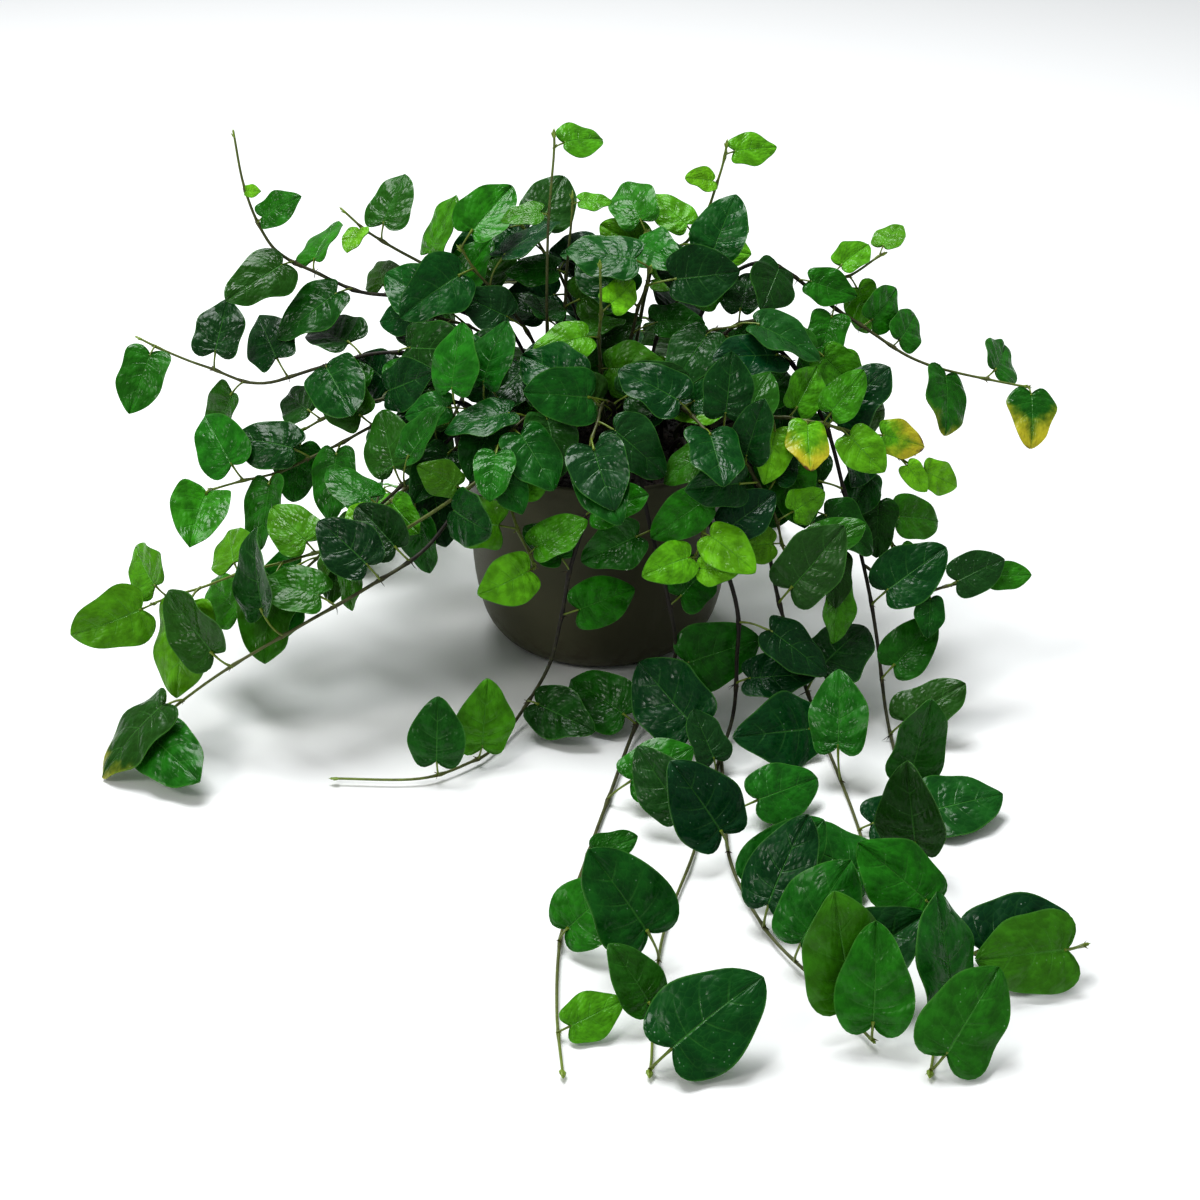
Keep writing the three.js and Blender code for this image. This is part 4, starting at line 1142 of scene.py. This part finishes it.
def grow_leaves():
    chains = [(stem["name"], beads(part["route"])) for stem in STEMS for part in stem["parts"]]
    grown = []
    for number, stem in enumerate(STEMS):
        draw = draws_from(number + 1)
        for part_number, part in enumerate(stem["parts"]):
            for asked in part["leaves"]:
                draws = [next(draw) for _ in range(10)]
                leaf = first_clear(stem, part["route"], asked, draws, grown, chains)
                if leaf:
                    leaf["part"] = part_number
                    grown.append(leaf)
    return grown


leaves = grow_leaves()
print("leaves grown:", len(leaves))

# %% [markdown]
# ## One blade, finely divided
#
# All blades grow to the same plan, so one fine blade is modelled and repeated. Its rows follow the side
# veins: each row leaves the midrib and runs forward to the margin, so veins and quilting need no more
# than a row number. It is a thin closed sheet, with an upper and a lower face joined round the edge, and
# lies flat here: the bending comes later, leaf by leaf.

# %% Blade plan
MARGIN = [
    (0.012, 0.0), (0.07, -0.06), (0.2, -0.115), (0.335, -0.06), (0.42, 0.11), (0.437, 0.32), (0.385, 0.56),
    (0.26, 0.79), (0.115, 0.94), (0.035, 0.985), (0.004, 1.0),
]
BLADE_ROWS = 24
BLADE_COLUMNS = 6
MIDRIB_BEND = 2.6
VEIN_SAG = 0.035


def even_points(points, count):
    """count + 1 points at even steps along the smooth curve through points."""
    fine = np.array([curve_point(points, i / 400) for i in range(401)])
    run = np.concatenate([[0], np.cumsum(np.linalg.norm(np.diff(fine, axis=0), axis=1))])
    steps = np.linspace(0, run[-1], count + 1)
    return np.stack([np.interp(steps, run, fine[:, i]) for i in range(fine.shape[1])], axis=1)


def blade_grid():
    """Flat places (across, along) and vein places (s, t) of a blade, row by row."""
    margin = even_points(MARGIN, BLADE_ROWS)
    grid = []
    for row in range(BLADE_ROWS + 1):
        t = row / BLADE_ROWS
        midrib = 0.99 * t ** MIDRIB_BEND
        line = []
        for column in range(-BLADE_COLUMNS, BLADE_COLUMNS + 1):
            s = math.copysign(abs(column / BLADE_COLUMNS) ** 1.15, column)
            sag = VEIN_SAG * math.sin(math.pi * abs(s)) * math.sin(math.pi * t)
            u = math.copysign(margin[row][0] * abs(s), s)
            v = midrib + (margin[row][1] - midrib) * abs(s) - sag
            line.append((u, v, s, t))
        grid.append(line)
    return grid


def blade_template():
    grid = blade_grid()
    width = 2 * BLADE_COLUMNS + 1
    flat = [(u, v, off) for off in (1.0, -1.0) for line in grid for u, v, s, t in line]
    blade = [(s, t, upper) for upper in (1.0, 0.0) for line in grid for u, v, s, t in line]
    lower = len(flat) // 2
    faces = []
    for row in range(BLADE_ROWS):
        for column in range(width - 1):
            a = row * width + column
            quad = (a, a + 1, a + width + 1, a + width)
            faces += [quad, tuple(lower + corner for corner in reversed(quad))]
    rim = list(range(width))
    rim += [row * width + width - 1 for row in range(1, BLADE_ROWS + 1)]
    rim += [BLADE_ROWS * width + column for column in range(width - 2, -1, -1)]
    rim += [row * width for row in range(BLADE_ROWS - 1, 0, -1)]
    for a, b in zip(rim, rim[1:] + rim[:1]):
        faces.append((b, a, lower + a, lower + b))
    mesh = bpy.data.meshes.new("blade template")
    mesh.from_pydata(flat, [], faces)
    mesh.shade_smooth()
    for name, values in (("flat", flat), ("blade", blade)):
        layer = mesh.attributes.new(name, "FLOAT_VECTOR", "POINT")
        layer.data.foreach_set("vector", np.array(values, dtype=np.float32).ravel())
    rim_pairs = {frozenset(pair) for pair in zip(rim, rim[1:] + rim[:1])}
    rim_pairs |= {frozenset(lower + corner for corner in pair) for pair in rim_pairs}
    sharp = mesh.attributes.new("sharp_edge", "BOOLEAN", "EDGE")
    sharp.data.foreach_set("value", [frozenset(edge.vertices) in rim_pairs for edge in mesh.edges])
    return bpy.data.objects.new("blade template", mesh)


blade_plan = blade_template()
print("blade:", len(blade_plan.data.polygons), "faces")

# %% [markdown]
# ## Buds and stipules
#
# Every stem ends in a slender pointed bud, wrapped in its last two scales, and small dry scales sit at
# each node. One tapered six-sided spindle of unit length serves for all of them, at different sizes.

# %% Bud plan
BUD_PROFILE = [(0.0, 0.0), (0.07, 0.02), (0.125, 0.22), (0.11, 0.5), (0.05, 0.8), (0.0, 1.0)]
BUD_SIDES = 6


def bud_template():
    points = []
    faces = []
    rings = []
    for radius, height in BUD_PROFILE:
        sides = BUD_SIDES if radius else 1
        rings.append([len(points) + i for i in range(sides)])
        for i in range(sides):
            angle = 2 * math.pi * i / BUD_SIDES
            points.append((radius * math.cos(angle), height, -radius * math.sin(angle)))
    for low, high in zip(rings, rings[1:]):
        for i in range(BUD_SIDES):
            j = (i + 1) % BUD_SIDES
            corners = [low[i % len(low)], low[j % len(low)], high[j % len(high)], high[i % len(high)]]
            faces.append(tuple(dict.fromkeys(corners)))
    mesh = bpy.data.meshes.new("bud template")
    mesh.from_pydata(points, [], faces)
    mesh.shade_smooth()
    layer = mesh.attributes.new("flat", "FLOAT_VECTOR", "POINT")
    layer.data.foreach_set("vector", np.array(points, dtype=np.float32).ravel())
    return bpy.data.objects.new("bud template", mesh)


bud_plan = bud_template()
print("bud:", len(bud_plan.data.polygons), "faces")

# %% [markdown]
# ## The vine tree
#
# One Geometry Nodes tree makes a whole leafy stem from a light sketch of it. The sketch is a mesh of
# lines, which become round stems, stalks and rootlets of their own girth, and of loose points, each of
# which becomes a blade or a bud. Every point carries the directions and numbers of its leaf.
#
# The tree lays the flat blade at its point and then works out where each vertex really goes:
# the same cup, droop and wave as the frame's leaf, plus a fold along the midrib, a rippled margin, and
# the quilting that rises between the veins.

# %% Reading numbers and laying blades
PART_LINE, PART_BLADE, PART_BUD = 0, 1, 2


def number_of(tree, name, kind="FLOAT"):
    return wire(tree, "GeometryNodeInputNamedAttribute", {"Name": name}, data_type=kind).outputs[0]


def arrow_of(tree, name):
    return number_of(tree, name, "FLOAT_VECTOR")


def shifted(tree, parts):
    """A vertex's place across its leaf: the plan's, made broader or narrower, wavy and leaning aside."""
    broad = times(tree, parts[0], number_of(tree, "breadth"))
    beat = sums(tree, "MULTIPLY_ADD", parts[1], 8.0, times(tree, number_of(tree, "wave"), 5.0))
    waver = sums(tree, "MULTIPLY_ADD", sums(tree, "SINE", beat), number_of(tree, "waver"), 1.0)
    lean = times(tree, parts[1], parts[1], number_of(tree, "skew"))
    return sums(tree, "MULTIPLY_ADD", broad, waver, lean)


def laid(tree, points, part, plan, off):
    """Real copies of a plan on the points of one part, each vertex sent to its own leaf's place."""
    kind = number_of(tree, "part", "INT")
    chosen = wire(tree, "FunctionNodeCompare", {2: kind, 3: part}, data_type="INT", operation="EQUAL")
    shape = wire(tree, "GeometryNodeObjectInfo", {"Object": plan}).outputs["Geometry"]
    copies = wire(tree, "GeometryNodeInstanceOnPoints", {
        "Points": points, "Selection": chosen.outputs[0], "Instance": shape})
    real = wire(tree, "GeometryNodeRealizeInstances", {"Geometry": copies.outputs[0]})
    flat = arrow_of(tree, "flat")
    parts = wire(tree, "ShaderNodeSeparateXYZ", {"Vector": flat}).outputs
    base = vector_sums(tree, "SUBTRACT", wire(tree, "GeometryNodeInputPosition").outputs[0], flat)
    across = scaled(tree, arrow_of(tree, "side_way"), shifted(tree, parts))
    along = scaled(tree, arrow_of(tree, "tip_way"), parts[1])
    above = scaled(tree, arrow_of(tree, "face_way"), off(tree, parts))
    place = vector_sums(tree, "ADD", vector_sums(tree, "ADD", across, along), above)
    place = vector_sums(tree, "ADD", base, scaled(tree, place, number_of(tree, "length")))
    return wire(tree, "GeometryNodeSetPosition", {"Geometry": real.outputs[0], "Position": place}).outputs[0]


print("parts of a sketch: lines", PART_LINE, "blades", PART_BLADE, "buds", PART_BUD)

# %% How a blade bends
def blade_off(given):
    """How far a blade's surface stands off its flat plane, in shares of its length."""
    def off(tree, parts):
        u = times(tree, parts[0], number_of(tree, "breadth"))
        v = parts[1]
        veins = wire(tree, "ShaderNodeSeparateXYZ", {"Vector": arrow_of(tree, "blade")}).outputs
        out = sums(tree, "ABSOLUTE", u)
        s = sums(tree, "ABSOLUTE", veins[0])
        cup = times(tree, u, u, number_of(tree, "cup"))
        droop = times(tree, v, v, number_of(tree, "droop"))
        wave = number_of(tree, "wave")
        waved = times(tree, sums(tree, "SINE", sums(tree, "MULTIPLY_ADD", v, 6.0, wave)), out, 0.05)
        fold = times(tree, sums(tree, "SUBTRACT", out, 0.15), number_of(tree, "fold"))
        ripple = sums(tree, "SINE", sums(tree, "MULTIPLY_ADD", veins[1], 19.0, times(tree, wave, 3.0)))
        ripple = times(tree, ripple, s, s, given.outputs["Ripple"])
        between = sums(tree, "ABSOLUTE", sums(tree, "SINE", times(tree, veins[1], math.pi * SIDE_VEINS)))
        inward = sums(tree, "SINE", times(tree, s, math.pi))
        quilt = times(tree, sums(tree, "POWER", between, 0.7), sums(tree, "POWER", inward, 0.7))
        quilt = times(tree, quilt, given.outputs["Quilting"])
        ridge = sums(tree, "MULTIPLY_ADD", s, -9.0, 1.0, clamp=True)
        ridge = times(tree, ridge, sums(tree, "MULTIPLY_ADD", veins[1], -0.9, 1.0))
        ridge = times(tree, ridge, sums(tree, "MULTIPLY_ADD", veins[2], -0.016, 0.016))
        half = sums(tree, "DIVIDE", given.outputs["Half Thickness"], number_of(tree, "length"))
        total = sums(tree, "ADD", sums(tree, "SUBTRACT", cup, droop), sums(tree, "ADD", waved, fold))
        total = sums(tree, "ADD", total, sums(tree, "ADD", ripple, quilt))
        total = sums(tree, "SUBTRACT", total, ridge)
        return sums(tree, "MULTIPLY_ADD", parts[2], half, total)

    return off


def bud_off(tree, parts):
    return parts[2]


print("a blade bends by cup, droop, wave, fold, ripple and quilting")

# %% The whole tree
def round_lines(tree, given):
    """Lines become round rods, as thick as their points say, closed at both ends."""
    path = wire(tree, "GeometryNodeMeshToCurve", {"Mesh": given.outputs["Geometry"]})
    sides = {"Resolution": given.outputs["Stem Sides"], "Radius": 1.0}
    ring = wire(tree, "GeometryNodeCurvePrimitiveCircle", sides)
    rods = wire(tree, "GeometryNodeCurveToMesh", {
        "Curve": path.outputs[0], "Profile Curve": ring.outputs[0],
        "Scale": number_of(tree, "girth"), "Fill Caps": True,
    })
    return wire(tree, "GeometryNodeSetShadeSmooth", {"Geometry": rods.outputs[0]}).outputs[0]


def make_vine_tree():
    inputs = [
        ("Blade", "NodeSocketObject"), ("Bud", "NodeSocketObject"), ("Stem Sides", "NodeSocketInt"),
        ("Half Thickness", "NodeSocketFloat"), ("Quilting", "NodeSocketFloat"), ("Ripple", "NodeSocketFloat"),
        ("Leaf", "NodeSocketMaterial"), ("Bark", "NodeSocketMaterial"), ("Scale", "NodeSocketMaterial"),
    ]
    tree, given, result = new_geometry_tree("leafy stem", inputs)
    points = given.outputs["Geometry"]
    stems = round_lines(tree, given)
    blades = laid(tree, points, PART_BLADE, given.outputs["Blade"], blade_off(given))
    buds = laid(tree, points, PART_BUD, given.outputs["Bud"], bud_off)
    both = wire(tree, "GeometryNodeJoinGeometry")
    for shape, paint in ((buds, "Scale"), (stems, "Bark"), (blades, "Leaf")):
        painted = wire(tree, "GeometryNodeSetMaterial", {"Geometry": shape, "Material": given.outputs[paint]})
        tree.links.new(painted.outputs[0], both.inputs[0])
    tree.links.new(both.outputs[0], result.inputs[0])
    return tree


vine_tree = make_vine_tree()
print("vine tree:", len(vine_tree.nodes), "nodes")

# %% [markdown]
# ## Sketching a leafy stem
#
# A stem is thickest and oldest at its root and thins to a green tip. It swells at each node, where a leaf
# sits, and turns a little there, so it runs in a slight zigzag. Old nodes carry short dark rootlets, with
# which the plant climbs. A leaf's stalk leaves the stem square to it and bends round to the notch of the
# blade.

# %% What sets the stems apart
TONES = {
    # tone: age of the bark at the root, youth of the leaves, spread of that youth, warmth
    "dark": (1.0, 0.0, 0.45, 0.0),
    "mid": (0.95, 0.2, 0.46, 0.04),
    "young": (0.55, 0.5, 0.5, 0.05),
    "olive": (0.42, 0.36, 0.42, 0.35),
}
ROOT_GIRTH = 1.15
TIP_GIRTH = 0.5
SHOOT_GIRTH = 0.75
NODE_SWELL = 0.38
NODE_LENGTH = 1.5
KINK = 0.55
STALK_GIRTH = 0.5
STALK_STEPS = 7
POINTS_A_STRETCH = 9


class Sketch:
    """Points with their numbers, and the lines between them."""

    def __init__(self):
        self.points = []
        self.lines = []
        self.numbers = []

    def add(self, point, part, **numbers):
        self.points.append(tuple(c * MM for c in point))
        self.numbers.append({"part": part, **numbers})
        return len(self.points) - 1

    def line(self, points, girths, ages):
        ids = [self.add(p, PART_LINE, girth=g * MM, age=a) for p, g, a in zip(points, girths, ages)]
        self.lines += list(zip(ids, ids[1:]))

    def spindle(self, foot, way, size, age, slim=1.0):
        """A bud or scale of that length, pointing along way."""
        side = unit(cross(way, (0.31, 0.22, 0.93)))
        face = cross(side, way)
        thick = tuple(c * slim for c in side)
        self.add(foot, PART_BUD, side_way=thick, tip_way=way, face_way=face, length=size * MM, breadth=1.0,
                 age=age)


print("tones:", list(TONES))

# %% Stems, stalks and rootlets
def stem_girth(share, distances, thick):
    """Girth at a share of the way, thicker at the nodes whose distances along the stem are given."""
    girth = thick + (TIP_GIRTH - thick) * share ** 1.1
    return girth + NODE_SWELL * thick * sum(math.exp(-((d / NODE_LENGTH) ** 2)) for d in distances)


def sketch_stem(sketch, part, own, thick, root_age, tip_age):
    route = part["route"]
    count = (len(route) - 1) * POINTS_A_STRETCH
    points = [tuple(curve_point(route, i / count)) for i in range(count + 1)]
    run = [0.0]
    for a, b in zip(points, points[1:]):
        run.append(run[-1] + length(minus(b, a)))
    nodes = sorted((leaf["place"], leaf) for leaf in own)
    places = [0.0] + [place for place, leaf in nodes] + [1.0]
    node_runs = [float(np.interp(place * count, range(count + 1), run)) for place in places[1:-1]]
    kinks = [(0.0, 0.0, 0.0)]
    for place, leaf in nodes:
        away = minus(leaf["base"], leaf["root"])
        away = unit(plus(away, leaf["along"], -dot(away, leaf["along"])))
        kinks.append(tuple(KINK * c for c in away))
    kinks.append((0.0, 0.0, 0.0))
    girths = []
    ages = []
    for i, here in enumerate(run):
        share = i / count
        shift = [float(np.interp(share, places, [k[axis] for k in kinks])) for axis in range(3)]
        lift = min(1.0, max(0.0, (points[i][2] - 4) / 20))
        points[i] = plus(points[i], (shift[0], shift[1], shift[2] * lift))
        girths.append(stem_girth(share, [here - d for d in node_runs], thick))
        ages.append(root_age + (tip_age - root_age) * share ** 2.2)
    sketch.line(points, girths, ages)
    return points, ages


def sketch_stalk(sketch, leaf):
    """A stalk from the middle of the stem to just inside the notch of the blade."""
    reach = length(minus(leaf["base"], leaf["root"]))
    out = plus(minus(leaf["base"], leaf["root"]), leaf["face"], 0.35 * reach)
    out = unit(plus(out, leaf["tip"], -0.25 * reach))
    notch = plus(leaf["base"], leaf["tip"], 0.03 * leaf["size"])
    notch = plus(notch, leaf["face"], -0.3)
    first = leaf["root"]
    second = plus(first, out, 0.45 * reach)
    third = plus(plus(notch, leaf["tip"], -0.4 * reach), leaf["face"], -0.12 * reach)
    points = []
    girths = []
    for i in range(STALK_STEPS):
        t = i / (STALK_STEPS - 1)
        weights = ((1 - t) ** 3, 3 * t * (1 - t) ** 2, 3 * t * t * (1 - t), t ** 3)
        point = (0.0, 0.0, 0.0)
        for weight, corner in zip(weights, (first, second, third, notch)):
            point = plus(point, corner, weight)
        points.append(point)
        girths.append(STALK_GIRTH * (0.55 + leaf["size"] / 60) * (1.25 - 0.9 * t * (1 - t) * 2))
    sketch.line(points, girths, [0.28 - 0.28 * i / (STALK_STEPS - 1) for i in range(STALK_STEPS)])


def sketch_rootlets(sketch, luck, foot, along, age):
    """Short dark rootlets at an old node."""
    for _ in range(luck.randint(1, 3) if age > 0.55 else 0):
        way = unit(cross(along, unit((luck.gauss(0, 1), luck.gauss(0, 1), luck.gauss(0, 1)))))
        bend = (luck.uniform(-0.4, 0.4), luck.uniform(-0.4, 0.4), -0.3)
        reach = luck.uniform(2.0, 4.6)
        points = []
        for i in range(5):
            share = i / 4
            point = plus(plus(foot, way, reach * share), bend, reach * 0.6 * share * share)
            points.append((point[0], point[1], max(point[2], 0.5)))
        sketch.line(points, [0.26 * (1 - 0.2 * i) for i in range(5)], [0.95] * 5)


print("a stem thins from", ROOT_GIRTH, "to", TIP_GIRTH, "mm")

# %% [markdown]
# ## Leaves of many ages
#
# Young leaves are small, bright and smooth; old ones large, dark and dull with dried droplets. A third
# are folded along the midrib, and a few turn yellow from the tip. Each leaf takes its numbers from its
# stem's tone, its place and its size, with a seeded draw on top.

# %% Leaves, buds and scales of a sketch
LOOK_SEED = 4242
SCORCHED = {
    # stem: {number of the leaf on it: how far the scorch has come}
    "right_upper": {8: 0.8, 6: 0.62},
    "right_cluster": {4: 0.85, 7: 0.9},
    "left_upper": {1: 0.75},
    "left_dark": {6: 0.62},
}
FROSTED = {stem["name"] for stem in STEMS if stem["name"].startswith("crown")}
FROSTED |= {"right_second", "right_main", "right_rim", "middle_right"}
FOLDED_SHARE = 0.34


def leaf_look(luck, stem, leaf, number):
    _, youth, spread, warmth = TONES[stem["tone"]]
    small = max(0.0, (25 - leaf["size"]) / 25)
    youth = youth + spread * luck.random() + 0.55 * small + 0.25 * leaf["place"] ** 4
    if leaf["part"]:
        youth += 0.12
    frost = (0.9 if stem["name"] in FROSTED else 0.35) * luck.uniform(0.4, 1.0)
    folded = luck.random() < FOLDED_SHARE
    return {
        "youth": min(1.0, youth),
        "warmth": min(0.9, warmth + 0.55 * luck.random() ** 5),
        "scorch": SCORCHED.get(stem["name"], {}).get(number, 0.5 * luck.random() ** 3),
        "frost": frost * (1 - min(1.0, youth)),
        "fold": luck.uniform(0.14, 0.32) if folded else luck.uniform(-0.03, 0.1),
        "waver": luck.uniform(0.02, 0.12),
        "skew": luck.gauss(0.0, 0.04),
    }


def sketch_leaf(sketch, luck, stem, leaf, number):
    look = leaf_look(luck, stem, leaf, number)
    sketch.add(leaf["base"], PART_BLADE, side_way=leaf["side"], tip_way=leaf["tip"], face_way=leaf["face"],
               length=leaf["size"] * MM, breadth=leaf["breadth"], cup=leaf["cup"], droop=leaf["droop"],
               wave=leaf["wave"], **look)


def sketch_tip(sketch, points, thick):
    """The slender bud that ends a stem, and one beside it."""
    way = unit(minus(points[-1], points[-4]))
    foot = plus(points[-1], way, -3.4)
    sketch.spindle(foot, way, 4.4, 0.1, 1.25 + thick)
    beside = unit(plus(way, unit(cross(way, (0.2, 0.9, 0.4))), 0.55))
    sketch.spindle(foot, beside, 3.0, 0.35)


def sketch_node(sketch, luck, leaf, age):
    """The small bud in the angle of a stalk and a pair of dry scales."""
    out = unit(minus(leaf["base"], leaf["root"]))
    foot = plus(leaf["root"], out, 0.5)
    sketch.spindle(foot, unit(plus(out, leaf["along"], 0.9)), luck.uniform(1.8, 2.8), 0.25 + 0.6 * age)
    for side in (1, -1):
        beside = unit(plus(cross(leaf["along"], out), out, 0.4))
        way = unit(plus(leaf["along"], beside, 0.9 * side))
        sketch.spindle(foot, way, luck.uniform(1.6, 3.0), 0.5 + 0.5 * age, 0.45)
    sketch_rootlets(sketch, luck, leaf["root"], leaf["along"], age)


print("scorched leaves on:", list(SCORCHED))

# %% Turning a sketch into a mesh with numbers
NUMBERS = ("girth", "age", "length", "breadth", "cup", "droop", "wave", "fold", "waver", "skew", "youth",
           "warmth", "scorch", "frost")
ARROWS = ("side_way", "tip_way", "face_way")
KEPT = {"position", "sharp_face", "sharp_edge", "material_index", "blade", "age", "youth", "warmth", "scorch",
        "frost", "shade_smooth"}


def sketch_object(sketch, name):
    mesh = bpy.data.meshes.new(name)
    mesh.from_pydata(sketch.points, sketch.lines, [])
    part = mesh.attributes.new("part", "INT", "POINT")
    part.data.foreach_set("value", [numbers["part"] for numbers in sketch.numbers])
    for key in NUMBERS:
        layer = mesh.attributes.new(key, "FLOAT", "POINT")
        layer.data.foreach_set("value", [numbers.get(key, 0.0) for numbers in sketch.numbers])
    for key in ARROWS:
        layer = mesh.attributes.new(key, "FLOAT_VECTOR", "POINT")
        layer.data.foreach_set("vector", [c for n in sketch.numbers for c in n.get(key, (0.0, 0.0, 0.0))])
    made = bpy.data.objects.new(name, mesh)
    bpy.context.collection.objects.link(made)
    return made


def sketch_vine(number, stem):
    luck = random.Random(LOOK_SEED + number)
    sketch = Sketch()
    own = [leaf for leaf in leaves if leaf["stem"] == stem["name"]]
    root_age = TONES[stem["tone"]][0]
    for part_number, part in enumerate(stem["parts"]):
        on_part = [leaf for leaf in own if leaf["part"] == part_number]
        thick = SHOOT_GIRTH if part_number else ROOT_GIRTH
        old = root_age * (0.6 if part_number else 1.0)
        points, ages = sketch_stem(sketch, part, on_part, thick, old, 0.15 * root_age)
        for leaf_number, leaf in enumerate(on_part):
            sketch_stalk(sketch, leaf)
            sketch_leaf(sketch, luck, stem, leaf, leaf_number)
            here = min(len(ages) - 1, round(leaf["place"] * (len(ages) - 1)))
            sketch_node(sketch, luck, leaf, ages[here])
        sketch_tip(sketch, points, thick)
    return sketch


print("numbers on each point:", len(NUMBERS) + len(ARROWS) + 1)

# %% Growing every vine
VINE_INPUTS = {
    "Blade": blade_plan, "Bud": bud_plan, "Stem Sides": 8, "Half Thickness": 0.00019, "Quilting": 0.025,
    "Ripple": 0.023, "Leaf": leaf_paint, "Bark": bark_paint, "Scale": bud_paint,
}


def grow_vine(number, stem):
    sketch = sketch_object(sketch_vine(number, stem), "sketch")
    piece = settled(sketch, "vine_" + stem["name"], vine_tree, VINE_INPUTS)
    for layer in [a.name for a in piece.data.attributes if a.name not in KEPT and not a.name.startswith(".")]:
        piece.data.attributes.remove(piece.data.attributes[layer])
    return piece


vines = {stem["name"]: grow_vine(number, stem) for number, stem in enumerate(STEMS)}
triangles = 0
for piece in vines.values():
    piece.data.calc_loop_triangles()
    triangles += len(piece.data.loop_triangles)
print("vines:", len(vines), "triangles:", triangles)

# %% [markdown]
# ## Joining the frame
#
# Each finished piece takes the place of its node in the frame and rides on the one body that the
# plant is. The templates are taken away.


def hand_over(piece, node):
    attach(piece, "root")
    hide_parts(node)


hand_over(pot_piece, "pot")
hand_over(peat_piece, "soil")
for stem in STEMS:
    hand_over(vines[stem["name"]], stem["name"])
for plan in (blade_plan, bud_plan):
    bpy.data.objects.remove(plan)
